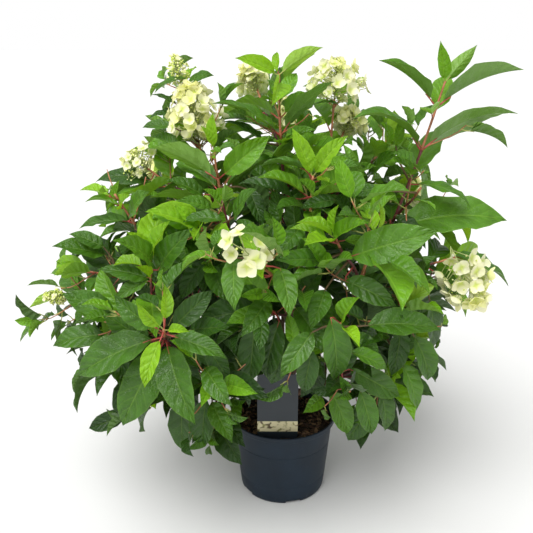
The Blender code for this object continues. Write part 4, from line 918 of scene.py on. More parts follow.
def leafRoom(leaf, extra=0.0):  # the leaf as a simple loft, for the tests of what it meets
    across = leaf["way"].cross(leaf["face"])
    radius = leafRule["petioleRadius"] + extra
    foot = leaf["foot"] + leaf["stalk"]
    between = (leaf["stalk"].normalized() + leaf["way"]).normalized()
    first = (across - between * across.dot(between)).normalized()
    rings = [circle(foot, first, first.cross(between), radius, 3, -0.25)]
    for share, breadth in ((0.34, 1.0), (0.70, 0.66)):
        middle, up = bladePlace(leaf, share)
        half = across * (leaf["width"] * breadth / 2 + extra)
        lift = up * (leafRule["fold"] * leaf["width"] * breadth / 2)
        thick = up * (leafRule["thickness"] * leaf["length"] / 2 * breadth + extra)
        rings.append([middle - thick, middle + half + lift, middle + thick, middle - half + lift])
    tip = bladePlace(leaf, 1.0)[0]
    root = leaf["foot"] + leaf["stalk"].normalized() * (extra * 4 - 0.0004)
    return loft(rings, tip + leaf["way"] * extra, root)


class Room:  # all that has grown, so that new growth keeps clear of it
    def __init__(self, most=9000):
        self.low, self.high = np.full((most, 3), 9.0), np.full((most, 3), -9.0)
        self.trees, self.shoots, self.masses = [], [], []

    def shape(self, points, faces):
        corners = np.array([tuple(p) for p in points])
        return BVHTree.FromPolygons([tuple(p) for p in points], faces), corners.min(0), corners.max(0)

    def add(self, points, faces, mass, shoot):
        tree, low, high = self.shape(points, faces)
        self.low[len(self.trees)], self.high[len(self.trees)] = low, high
        self.trees.append(tree)
        self.masses.append(mass)
        self.shoots.append(shoot)

    def meets(self, points, faces, mass=None, shoot=None):  # leaving out what is of this mass or shoot
        tree, low, high = self.shape(points, faces)
        near = np.nonzero(((self.low <= high) & (self.high >= low)).all(axis=1))[0]
        for i in near:
            own = self.masses[i] == mass if mass else self.shoots[i] == shoot
            if not own and tree.overlap(self.trees[i]):
                return True
        return False


def shootRoom(shoot):
    whole = lengthOf(shoot["line"])
    start = whole * shootRule["boughShare"] + gap if shoot["leader"] else 0.0
    radii = shootRule["leaderRadii"] if shoot["leader"] else shootRule["radii"]
    return loft(ringsAlong(stretch(shoot["line"], start, whole), radii, 3))


def blossomFrame(shoot):  # where the blossom stands, its direction and two sides
    tip, way = pointAt(shoot["line"], lengthOf(shoot["line"]))
    if shoot["entry"]["blossom"] == "nodding":
        way = (way + Vector((-0.15, -0.40, -1.90))).normalized()
    side = way.orthogonal().normalized()
    return tip, way, side, way.cross(side)


def blossomRoom(shoot):  # the space that a blossom takes, as one cone
    if "blossom" not in shoot["entry"]:
        return None
    length, radius = shoot["entry"]["size"]
    tip, way, side, other = blossomFrame(shoot)
    rings = []
    for share, breadth in ((-0.04, 0.10), (0.10, 0.80), (0.34, 1.0), (0.62, 0.80), (0.86, 0.46)):
        rings.append(circle(tip + way * length * share, side, other, radius * 0.95 * breadth, 6))
    return loft(rings, tip + way * length)


def depthInCrown(point):
    offset = point - crown["centre"]
    return Vector([offset[i] / crown["radii"][i] for i in range(3)]).length


def inOwnSpace(shoots, mass, point):
    own = min((p - point).length for s in shoots if s["mass"] == mass for p in s["line"][2:])
    others = min((p - point).length for s in shoots if s["mass"] != mass for p in s["line"][2:])
    return own < others + crown["overlap"]


def underCrown(point):
    outwards = max(0, math.hypot(point.x, point.y) - crown["level"])
    return point.z < crown["lowest"] + crown["rise"] * outwards


def hidesPot(point):
    tagMiddle = soilTop + 0.6 * (tagHigh.z - soilTop)
    tagX, tagHalf = (tagLow.x + tagHigh.x) / 2, (tagHigh.x - tagLow.x) / 2
    windows = ((tagX, tagHalf, tagHigh.y, tagMiddle), (0, leafRule["soilShown"], 0, potHigh.z))
    for x, half, y, top in windows:
        ahead = y - point.y
        if ahead > 0 and abs(point.x - x) < half and point.z < top + leafRule["viewSlope"] * ahead:
            return True
    return False


def inOpenSky(point):
    share = -eye.y / (point.y - eye.y)
    x, z = eye.x + (point.x - eye.x) * share, eye.z + (point.z - eye.z) * share
    return any(math.hypot(x - a, z - b) < radius for a, b, radius in openSky)


def shownPart(leaf):  # the strip along its midrib that nothing hides: its foot, its tip and its half width
    start, tip = leaf["foot"] + leaf["stalk"], bladePlace(leaf, 1.0)[0]
    return (*start, *tip, leaf["width"] * leafRule["shownWidth"])


def hides(shown, points):  # whether a point stands before one of the shown strips, seen from the eye
    places = np.array([tuple(p) for p in points]) - np.array(eye)
    feet, axes, widths = shown[:, :3], shown[:, 3:6] - shown[:, :3], shown[:, 6]
    sight = feet + axes / 2 - np.array(eye)
    far = np.linalg.norm(sight, axis=1)
    ahead = places @ (sight / far[:, None]).T
    seen = np.array(eye) + places[:, None, :] * (far / ahead)[:, :, None] - feet
    share = np.clip((seen * axes).sum(axis=2) / (axes * axes).sum(axis=1), 0, 1)
    aside = np.linalg.norm(seen - axes * share[:, :, None], axis=2)
    return bool(((ahead < far - 0.004) & (aside < widths)).any())


def outside(point):
    margin = 0.016
    return any(not cadLow[i] - margin < point[i] < cadHigh[i] + margin for i in range(3))


def standsFree(room, index, points, faces):  # clear of the pot and of all but its own shoot
    return not any(underCrown(p) or hidesPot(p) or outside(p) for p in points) and not room.meets(
        points, faces, shoot=index
    )


def placeLeaf(
    mains, room, shoot, index, number, side, deepest,
    tries=range(leafRule["tries"]), extra=leafRule["clearance"],
):
    for attempt in tries:
        leaf = leafFrame(shoot, number, side, attempt)
        middle, outer = (bladePlace(leaf, share)[0] for share in (0.5, 0.8))
        points, faces = leafRoom(leaf, extra)
        if attempt or not isAimed(shoot, number, side):
            if depthInCrown(middle) < deepest or any(inOpenSky(p) for p in points):
                continue
            if not inOwnSpace(mains, shoot["mass"], outer) or hides(room.shown, points + [middle, outer]):
                continue
        if not standsFree(room, index, points, faces):
            continue
        room.add(*leafRoom(leaf), shoot["mass"], "loose")
        leaf["depth"] = depthInCrown(middle)
        return leaf
    return None


def guards(room):  # the pot and the tag keep their room
    up = Vector((0, 0, 1))
    base, rim = potHigh.x - 0.0225, potHigh.x + 0.004
    room.add(*loft(ringsAlong([(up * 0, up), (up * (potHigh.z + 0.002), up)], (base, rim), 24)), "", "loose")
    low, high = tagLow - Vector((0.001, 0.001, 0)), tagHigh + Vector((0.001, 0.001, 0.001))
    corners = ((low.x, low.y), (high.x, low.y), (high.x, high.y), (low.x, high.y))
    rings = [[Vector((x, y, z)) for x, y in corners] for z in (soilTop, high.z)]
    room.add(*loft(rings), "", "loose")


sprayRule = {  # the finer twigs that only the scene has
    "vigour": (0.62, 0.98),
    "length": (0.045, 0.100),
    "lean": (40.0, 60.0),  # degrees from the stem
    "turns": (-0.3, 0.3),
    "pairs": 3,
    "deepest": 0.32,  # share of the crown
    "tries": 10,
    "chance": 0.90,
}


def sprays(shoots):  # short side twigs in the leaf axils
    found = []
    for index, shoot in enumerate(shoots):
        dice = random.Random(shoot["seed"] * 7 + 3)
        whole = lengthOf(shoot["line"])
        for number in range(1, shootRule["pairs"]):
            distance = whole - nodeDepth(shoot, number) + 0.004
            if distance < shoot["bare"] + 0.01:
                break
            for side in (0, 1):
                length = dice.uniform(*sprayRule["length"])
                vigour = dice.uniform(*sprayRule["vigour"])
                if dice.random() > sprayRule["chance"]:
                    continue
                foot, stem = pointAt(shoot["line"], distance)
                turn = shoot["phase"] + number * math.pi / 2 + side * math.pi
                turn += dice.uniform(*sprayRule["turns"])
                across = (Vector((1, 0, 0)) - stem * stem.x).normalized()
                lean = math.radians(dice.uniform(*sprayRule["lean"]))
                way = stem * math.cos(lean) + (Quaternion(stem, turn) @ across) * math.sin(lean)
                tip = foot + way * length
                if underCrown(tip) or inOpenSky(tip) or hidesPot(tip):
                    continue
                line = curvePoints(foot, way, tip, (way + Vector((0, 0, 0.5))).normalized(), step=0.02)
                found.append({
                    "mass": shoot["mass"], "line": line, "leader": False, "bare": 0.006, "entry": {},
                    "phase": turn + math.pi / 2, "vigour": vigour, "seed": 50000 + len(found),
                    "spray": True, "parent": index,
                })
    return found


def growLeaves(shoots):
    room = Room()
    guards(room)
    leaves = []
    for index, shoot in enumerate(shoots):
        if shoot["leader"]:
            places = stretch(shoot["line"], 0.0, lengthOf(shoot["line"]) * shootRule["boughShare"])
            room.add(*loft(ringsAlong(places, shootRule["boughRadii"], 5)), "", index)
    standing, shown = [], []
    for index, shoot in enumerate(shoots):
        solids = [solid for solid in (shootRoom(shoot), blossomRoom(shoot)) if solid]
        if any(room.meets(*solid, mass=shoot["mass"]) for solid in solids):
            continue
        standing.append(index)
        for solid in solids:
            room.add(*solid, shoot["mass"], index)
        if len(solids) == 2 and shoot["line"][-1].y < crown["shownTo"]:
            tip, way = blossomFrame(shoot)[:2]
            length, radius = shoot["entry"]["size"]
            shown.append((*(tip + way * length * 0.1), *(tip + way * length * 0.8), radius * 0.8))
    pairs = range(shootRule["pairs"])
    places = [(number, index, side) for number in pairs for index in standing for side in (0, 1)]
    taken = []
    for number, index, side in places:
        if not isAimed(shoots[index], number, side):
            continue
        leaf = placeLeaf(shoots, room, shoots[index], index, number, side, crown["shade"], range(1))
        if leaf:
            leaves.append(leaf)
            shown.append(shownPart(leaf))
            taken.append((number, index, side))
    for given in givenLeaves:
        for attempt in range(leafRule["tries"]):
            index, leaf = givenLeaf(shoots, standing, given, attempt)
            if leaf and standsFree(room, index, *leafRoom(leaf, leafRule["clearance"])):
                room.add(*leafRoom(leaf), shoots[index]["mass"], "loose")
                leaves.append(leaf)
                shown.append(shownPart(leaf))
                break
    room.shown = np.array(shown)
    print("leaves with a place of their own:", len(leaves))
    empty = []
    for number, index, side in places:
        shoot = shoots[index]
        if (number, index, side) in taken:
            continue
        if lengthOf(shoot["line"]) - nodeDepth(shoot, number) < shoot["bare"] + 0.02:
            continue
        if number == 0 and not hasTipLeaves(shoot):
            continue
        leaf = placeLeaf(shoots, room, shoot, index, number, side, crown["shade"])
        if leaf:
            leaves.append(leaf)
        else:
            empty.append((number, index, side))
    print("large leaves:", len(leaves))
    empty += [(0, index, side) for index in standing if not shoots[index]["entry"] for side in (0, 1)]
    for number, index, side in sorted(empty):  # again with more tries, deeper in the crown
        leaf = placeLeaf(
            shoots, room, shoots[index], index, number, side,
            leafRule["secondDeepest"], range(leafRule["secondTries"]), leafRule["slack"],
        )
        if leaf:
            leaves.append(leaf)
    print("and where they first found no room:", len(leaves))
    twigs = []
    for spray in sprays([shoots[i] for i in standing]):
        bare = stretch(spray["line"], 0.006, lengthOf(spray["line"]))
        points, faces = loft(ringsAlong(bare, (0.001, 0.001), 3))
        index = standing[spray["parent"]]
        if room.meets(points, faces, shoot=index):
            continue
        own = []
        for number in range(sprayRule["pairs"]):
            if lengthOf(spray["line"]) - nodeDepth(spray, number) < spray["bare"]:
                break
            for side in (0, 1):
                leaf = placeLeaf(
                    shoots, room, spray, index, number, side,
                    sprayRule["deepest"], range(sprayRule["tries"]), leafRule["slack"],
                )
                if leaf:
                    own.append(leaf)
        if own:
            twigs.append(spray)
            leaves += own
            room.add(points, faces, spray["mass"], index)
    print("with the finer twigs:", len(leaves), "leaves on", len(twigs), "sprays")
    return [shoots[i] for i in standing], twigs, leaves


shoots = growShoots()
shoots, twigs, leaves = growLeaves(shoots)


# Leaves

blade = {
    "rows": 14,  # two to a pair of side veins
    "slant": 0.22,  # how far a side vein runs forward on its way to the margin
    "outline": (  # share of the length, and of the greatest half width
        (0, 0.05), (0.04, 0.27), (0.10, 0.54), (0.18, 0.80), (0.28, 0.96), (0.38, 1.0), (0.50, 0.98),
        (0.62, 0.87), (0.73, 0.69), (0.82, 0.47), (0.90, 0.22), (0.95, 0.10), (1.0, 0.0),
    ),
    "teeth": 0.022,  # how far the margin's teeth stand out
    "quilting": 0.0045,  # how far the blade stands up between its veins, of the leaf's length
    "veinDepth": 0.0013,  # of the finer relief
    "groove": 0.006,  # how deep the midrib lies
    "columns": (-1.0, -0.52, 0.0, 0.52, 1.0),
}


def outline(share):  # half the blade's width, 0.5 where it is widest
    stations = blade["outline"]
    return 0.5 * float(np.interp(share, [s for s, _ in stations], [b for _, b in stations]))


def makeBlade():
    rows, columns = blade["rows"], blade["columns"]
    points, uvs = [], []
    for i in range(rows + 1):
        share = i / rows
        for column in columns:
            along = share + blade["slant"] * abs(column) * math.sin(math.pi * share)
            half = outline(min(1.0, along))
            if abs(column) == 1.0:
                half *= 1 + blade["teeth"] * (-1) ** i
            crest = blade["quilting"] * (1 if i % 2 else -1) * math.sin(math.pi * share) ** 0.5
            height = crest * min(1.0, abs(column) * 2) if column else -blade["groove"] * (1 - share)
            if abs(column) == 1.0:
                height *= 0.5
            points.append((half * column, along, height))
            uvs.append((share, 0.5 + column / 2))
    wide = len(columns)
    faces = [
        (i * wide + k, i * wide + k + 1, (i + 1) * wide + k + 1, (i + 1) * wide + k)
        for i in range(rows) for k in range(wide - 1)
    ]
    made = meshObject("bladeShape", points, faces)
    setUv(made.data, uvs)
    flat = made.data.attributes.new("flat", "FLOAT_VECTOR", "POINT")
    flat.data.foreach_set("vector", np.array(points, np.float32).ravel())
    return made


leafTones = {  # top colour, roughness, and how much light comes through
    "young": {"top": (0.235, 0.480, 0.020), "rough": 0.25, "through": 0.32},
    "fresh": {"top": (0.135, 0.330, 0.016), "rough": 0.25, "through": 0.28},
    # Past young and fresh, the tones are one green made lighter or darker: painted light and painted shade.
    "sunny": {"top": (0.082, 0.215, 0.014), "rough": 0.25, "through": 0.20},
    "green": {"top": (0.054, 0.152, 0.010), "rough": 0.25, "through": 0.18},
    "deep": {"top": (0.029, 0.092, 0.006), "rough": 0.27, "through": 0.16},
    "shaded": {"top": (0.014, 0.050, 0.004), "rough": 0.35, "through": 0.14},
}


def leafLook(name, tone):
    look = Look(name)
    uv = look.uv()
    along, across = uv, uv.output(1)
    half = look.maths("ABSOLUTE", across * 2.0 - 1.0)
    fromVein = look.maths("ABSOLUTE", look.maths("FRACT", along * (blade["rows"] / 2) + 0.5) - 0.5)
    side = (1.0 - fromVein.ramp(0.02, 0.11)) * (1.0 - half * 0.7)
    midrib = 1.0 - half.ramp(0.015, 0.085)
    veins = look.maths("MAXIMUM", side * 0.5, midrib)
    mottle = look.noise(38.0, 4.0)
    top = tone["top"]
    body = look.mix(mottle.ramp(0.3, 0.72), rgba(shade(top, 0.80)), rgba(shade(top, 1.18)))
    pale = (top[0] * 1.6 + 0.035, top[1] * 1.4 + 0.035, top[2] * 1.6 + 0.01)
    body = look.mix(veins * 0.8, body, rgba(pale))
    margin = half.ramp(0.90, 1.0)
    body = look.mix(margin * 0.45, body, rgba(pale))
    under = (top[0] * 0.9 + 0.085, top[1] * 0.75 + 0.130, top[2] * 0.8 + 0.060)
    back = look.node("ShaderNodeNewGeometry", output=6)
    body = look.mix(back, body, rgba(under))
    net = look.cells(210.0, "DISTANCE_TO_EDGE")
    swell = fromVein.ramp(0.0, 0.42) * half.ramp(0.0, 0.25)
    height = swell + net.ramp(0.0, 0.30) * 0.28 + mottle * 0.3 - midrib * 0.4
    glow = (top[0] * 2.0 + 0.02, top[1] * 1.7 + 0.03, top[2] * 0.8)
    return look.finish(
        {
            "Base Color": body,
            "Roughness": look.noise(16.0).ramp(0.2, 0.8) * 0.16 + tone["rough"],
            "Normal": look.bump(height, 1.0, blade["veinDepth"]),
            "Specular IOR Level": 0.42,
        },
        glow=rgba(glow),
        glowShare=tone["through"],
    )


paintedLightRule = {  # painted light and painted shade: a leaf is paler the higher it stands and the further out, darker lower and deeper in
    "depth": 0.9,
    "middleDepth": 0.75,
    "height": 2.2,
    "middleHeight": 0.52,
    "chance": 0.22,
    "sideShoots": -0.10,
    "inside": 0.62,  # share of the crown that holds no fresh leaves, where older leaves get painted shade
}


# A leaf's tone: young leaves keep their own lime, and a light value from height and depth paints light and
# shade into the rest.
def toneOf(leaf):
    if leaf["tone"]:
        return leaf["tone"]
    dice = random.Random(round(leaf["foot"].x * 1e5) * 13 + round(leaf["foot"].z * 1e5))
    light = paintedLightRule["depth"] * (leaf["depth"] - paintedLightRule["middleDepth"])
    light += paintedLightRule["height"] * (leaf["foot"].z - paintedLightRule["middleHeight"])
    light += dice.uniform(-paintedLightRule["chance"], paintedLightRule["chance"])
    shoot = leaf["shoot"]
    if shoot["spray"] or not shoot["entry"]:
        light += paintedLightRule["sideShoots"]
        if leaf["age"] == 0:
            return "fresh" if light > 0.12 else "sunny" if light > -0.1 else "green"
    elif shoot["entry"].get("older") and leaf["age"] < 2:
        return "sunny" if leaf["age"] else "fresh"
    elif leaf["age"] == 0:
        return "young"
    elif leaf["age"] == 1:
        return "young" if light > 0.10 else "fresh"
    if leaf["depth"] < paintedLightRule["inside"]:
        return "shaded" if light < 0.0 else "deep"
    if leaf["age"] == 2 and light > 0.20:
        return "fresh"
    return "sunny" if light > 0.22 else "green" if light > -0.02 else "deep" if light > -0.3 else "shaded"


leafForm = {  # lowest and highest, drawn for each leaf
    "twist": (-0.5, 0.5),
    "fold": (-0.20, 0.25),
    "curl": (-0.25, 0.25),
    "wave": (0.12, 0.32),
    "droop": (0.03, 0.17),
    "phase": (0.0, 6.28),
    "swing": (-0.07, 0.07),
}


def makeLeaves():
    template = makeBlade()
    made = []
    for name, tone in leafTones.items():
        chosen = [leaf for leaf in leaves if toneOf(leaf) == name]
        if not chosen:
            continue
        dice = random.Random(len(name) * 77)
        count = len(chosen)

        def some(key):
            return [dice.uniform(*leafForm[key]) for _ in range(count)]

        young = [1.0 - min(1.0, leaf["age"] / 2.5) for leaf in chosen]
        source = pointsObject(
            "leaves_" + name,
            [leaf["foot"] + leaf["stalk"] for leaf in chosen],
            way=[tuple(leaf["way"]) for leaf in chosen],
            face=[tuple(leaf["face"]) for leaf in chosen],
            length=[leaf["length"] for leaf in chosen],
            width=[leaf["width"] * (0.92 - 0.14 * y) for leaf, y in zip(chosen, young)],
            bend=[leaf["bend"] for leaf in chosen],
            twist=some("twist"),
            fold=[0.68 + 0.45 * y + more for y, more in zip(young, some("fold"))],
            curl=[0.85 - 0.55 * y + more for y, more in zip(young, some("curl"))],
            wave=some("wave"),
            droop=some("droop"),
            phase=some("phase"),
            swing=some("swing"),
        )
        piece = blades.grow(source, Blade=template, Finish=leafLook("leaf " + name, tone))
        made.append(piece)
    discard([template])
    return made


leafPieces = makeLeaves()
print("leaves made,", sum(len(p.data.polygons) for p in leafPieces), "faces")


# Stems, petioles, boughs and the stool

stemLook = {
    "old": (0.105, 0.020, 0.020),
    "new": (0.40, 0.150, 0.070),
    "bark": (0.16, 0.095, 0.060),
    "petiole": (0.42, 0.065, 0.055),
    "youngPetiole": (0.34, 0.36, 0.09),
    "sideTwig": (0.12, 0.075, 0.030),
    "twiggy": 0.038,  # a stalk longer than this is drawn as a twig
    "stool": (  # share of its height, and radius
        (0, 0.0235), (0.10, 0.0195), (0.25, 0.0175), (0.42, 0.0180), (0.55, 0.0215), (0.70, 0.0222),
        (0.84, 0.0185), (0.94, 0.0115), (1.0, 0.003),
    ),
    "twigRadii": (0.0024, 0.0020, 0.0013, 0.0007),
    "stalkRadii": (1.25, 0.95, 0.80, 0.50),  # shares of a stalk's own radius
}


def woodLook(name, colour, gloss, specks):
    look = Look(name)
    blotch = look.noise(55.0, 4.0)
    spots = look.noise(420.0, 1.0, 0.5)
    body = look.mix(blotch.ramp(0.3, 0.7), rgba(shade(colour, 0.72)), rgba(shade(colour, 1.3)))
    body = look.mix(spots.ramp(0.62, 0.70) * specks, body, rgba(shade(colour, 2.6)))
    height = look.noise(240.0, 3.0) + blotch * 0.6
    return look.finish({
        "Base Color": body,
        "Roughness": blotch * 0.2 + gloss,
        "Normal": look.bump(height, 0.4, 0.001),
    })


def smoothLine(line, step):  # a finer line through the same points
    ends = [line[0] * 2 - line[1]] + list(line) + [line[-1] * 2 - line[-2]]
    found = []
    for a, b, c, d in zip(ends, ends[1:], ends[2:], ends[3:]):
        count = max(1, round((c - b).length / step))
        for i in range(count):
            t = i / count
            found.append(0.5 * (
                2 * b + (c - a) * t + (2 * a - 5 * b + 4 * c - d) * t * t + (3 * b - a - 3 * c + d) * t**3
            ))
    found.append(line[-1])
    return found


def chains(lines):  # several lines of (point, radius) as points, edges and radii
    points, edges, radii = [], [], []
    for line in lines:
        first = len(points)
        points += [p for p, _ in line]
        radii += [r for _, r in line]
        edges += [(first + i, first + i + 1) for i in range(len(line) - 1)]
    return points, edges, radii


def limbObject(name, lines, material, sides, relief=0.0, grain=200.0):
    points, edges, radii = chains(lines)
    source = pointsObject(name, points, edges, thickness=radii)
    return limbs.grow(source, Sides=sides, Relief=relief, Grain=grain, Finish=material)


def taper(line, start, end, swellings=()):
    found, passed, whole = [], 0.0, lengthOf(line)
    for i, point in enumerate(line):
        if i:
            passed += (point - line[i - 1]).length
        radius = start + (end - start) * passed / whole
        near = min((abs(passed - s) for s in swellings), default=1.0)
        found.append((point, radius * (1.0 + 0.38 * math.exp(-((near / 0.005) ** 2)))))
    return found


def makeStems():
    old, new = [], []
    for shoot in shoots:
        line = smoothLine(shoot["line"], 0.011)
        whole = lengthOf(line)
        radii = shootRule["leaderRadii"] if shoot["leader"] else shootRule["radii"]
        nodes = [whole - nodeDepth(shoot, n) for n in range(shootRule["pairs"])]
        if shoot["leader"]:
            start = whole * shootRule["boughShare"]
            line = [place for place, _ in stretch(line, start, whole)]
            nodes = [n - start for n in nodes]
        tube = taper(line, *radii, nodes)
        soft = max(2, round(len(tube) * 0.72))
        old.append(tube[:soft + 1])
        new.append(tube[soft:])
    for spray in twigs:
        new.append(taper(spray["line"], *shootRule["sprayRadii"]))
    return [
        limbObject("stems", old, woodLook("old stem", stemLook["old"], 0.38, 0.5), 8, 0.0004, 260.0),
        limbObject("shootTips", new, woodLook("young stem", stemLook["new"], 0.36, 0.25), 8),
    ]


def makePetioles():
    red, green, woody = [], [], []
    for leaf in leaves:
        foot, stalk, way, face = (leaf[key] for key in ("foot", "stalk", "way", "face"))
        bulge = (stalk.normalized() - way) * stalk.length * 0.12 - face * 0.0012
        blade = foot + stalk - face * 0.0008
        onward = blade + way * 0.10 * leaf["length"] - face * 0.0008
        places = (foot, foot + stalk * 0.55 + bulge, blade, onward)
        thick = 0.0007 + 0.0075 * leaf["length"]
        if stalk.length > stemLook["twiggy"]:
            woody.append(list(zip(places, stemLook["twigRadii"])))
        else:
            young = leaf["age"] == 0 or leaf["shoot"]["spray"]
            line = [(place, thick * share) for place, share in zip(places, stemLook["stalkRadii"])]
            (green if young else red).append(line)
    youngLook = woodLook("young leaf stalk", stemLook["youngPetiole"], 0.35, 0.0)
    return [
        limbObject("petioles", red, woodLook("red leaf stalk", stemLook["petiole"], 0.35, 0.0), 6),
        limbObject("youngPetioles", green, youngLook, 5),
        limbObject("sideTwigs", woody, woodLook("side twig", stemLook["sideTwig"], 0.55, 0.1), 7),
    ]


def makeBoughs():
    lines = []
    for shoot in shoots:
        if shoot["leader"]:
            line = smoothLine(shoot["line"], 0.010)
            part = [place for place, _ in stretch(line, 0, lengthOf(line) * shootRule["boughShare"] + 0.002)]
            lines.append(taper(part, shootRule["boughRadii"][0] * 1.25, shootRule["boughRadii"][1] * 1.1))
    bark = woodLook("bark", stemLook["bark"], 0.62, 0.4)
    boughs = limbObject("boughs", lines, bark, 12, 0.0016, 170.0)
    foot, top = soilTop + gap, soilTop + shootRule["headHeight"] + shootRule["headRadius"]
    line = [(Vector((0, 0, foot + (top - foot) * share)), radius) for share, radius in stemLook["stool"]]
    stool = limbObject("stool", [line], bark, 28, 0.0042, 95.0)
    return [boughs, stool]


stemPieces = makeStems() + makePetioles()
barkPieces = makeBoughs()
print("stems made")


# Blossom

blossomRule = {
    "dense": {"florets": 58, "size": 0.0162, "buds": 110},
    "loose": {"florets": 38, "size": 0.0148, "buds": 120},
    "bud": {"florets": 10, "size": 0.0075, "buds": 200},
    "nodding": {"florets": 32, "size": 0.0180, "buds": 60},
    "fine": {"florets": 15, "size": 0.0110, "buds": 240},
    "open": {"florets": 8, "size": 0.0190, "buds": 6},
    "budRadius": 0.0023,
    "stalk": 0.00075,
    "cream": (0.98, 0.96, 0.68),
    "pale": (0.95, 0.94, 0.50),
    "lime": (0.66, 0.76, 0.17),
    "stem": (0.50, 0.55, 0.22),
    "creamShare": (0.88, 0.45),  # of the florets, low and high in a head
    "through": 0.24,  # how much light comes through a petal
    "core": ((-0.10, 0.0018), (0.5, 0.0013), (0.95, 0.0006)),  # share of a head's length, and radius
    "cups": (0.12, 0.34, 0.62),  # how far the sepals of each floret shape stand up
}


def coneBreadth(share):  # the blossom's radius along its length, 1 where it is widest
    stations = ((-0.05, 0.05), (0.10, 0.80), (0.34, 1.0), (0.62, 0.80), (0.86, 0.46), (1.0, 0.10))
    return float(np.interp(share, [s for s, _ in stations], [b for _, b in stations]))


def floretShape(name, cup, seed):  # four round sepals that overlap, about a small eye
    dice = random.Random(seed)
    points, faces, uvs = [], [], []
    steps, wide = 5, 4
    for petal in range(4):
        turn = math.tau * petal / 4 + dice.uniform(-0.12, 0.12)
        long, broad = dice.uniform(0.92, 1.08), dice.uniform(0.50, 0.58)
        tilt = cup + dice.uniform(-0.14, 0.14)
        first = len(points)
        for i in range(steps + 1):
            share = i / steps
            half = broad * (0.22, 0.70, 0.95, 1.0, 0.82, 0.40)[i]
            for k in range(wide + 1):
                side = (k / wide - 0.5) * 2
                bulge = 0.12 * (1 - side * side) * math.sin(math.pi * share)
                out = long * share - 0.10 * side * side * share ** 2
                lift = 0.05 + tilt * out * (0.75 + 0.5 * share) - bulge + petal % 2 * 0.05
                lift += 0.05 * math.sin(side * 4 + petal + seed) * share
                x, y = out, side * half
                points.append((
                    x * math.cos(turn) - y * math.sin(turn), x * math.sin(turn) + y * math.cos(turn), lift,
                ))
                uvs.append((share, k / wide))
        for i in range(steps):
            for k in range(wide):
                a = first + i * (wide + 1) + k
                faces.append((a, a + wide + 1, a + wide + 2, a + 1))
    made = meshObject(name, points, faces)
    setUv(made.data, uvs)
    return made


def budShape(name):
    mesh = bpy.data.meshes.new(name)
    edit = bmesh.new()
    bmesh.ops.create_icosphere(edit, subdivisions=1, radius=1.0)
    edit.to_mesh(mesh)
    edit.free()
    mesh.shade_smooth()
    return placed(name, mesh)


def petalLook(name, colour, eye):
    look = Look(name)
    share = look.uv()
    body = look.mix(share.ramp(0.05, 0.55), rgba(eye), rgba(colour))
    body = look.mix(look.noise(30.0).ramp(0.45, 0.75) * 0.35, body, rgba(eye))
    crease = look.maths("SINE", share.output(1) * 40.0)
    return look.finish(
        {
            "Base Color": body,
            "Roughness": look.noise(60.0) * 0.2 + 0.45,
            "Normal": look.bump(crease * 0.4 + look.noise(300.0), 0.25, 0.0006),
        },
        glow=rgba(shade(colour, 1.05)),
        glowShare=blossomRule["through"],
    )


def plainLook(name, colour, gloss=0.5):
    look = Look(name)
    body = look.mix(look.noise(90.0).ramp(0.3, 0.7), rgba(shade(colour, 0.8)), rgba(shade(colour, 1.15)))
    return look.finish({"Base Color": body, "Roughness": look.noise(50.0) * 0.2 + gloss - 0.1})


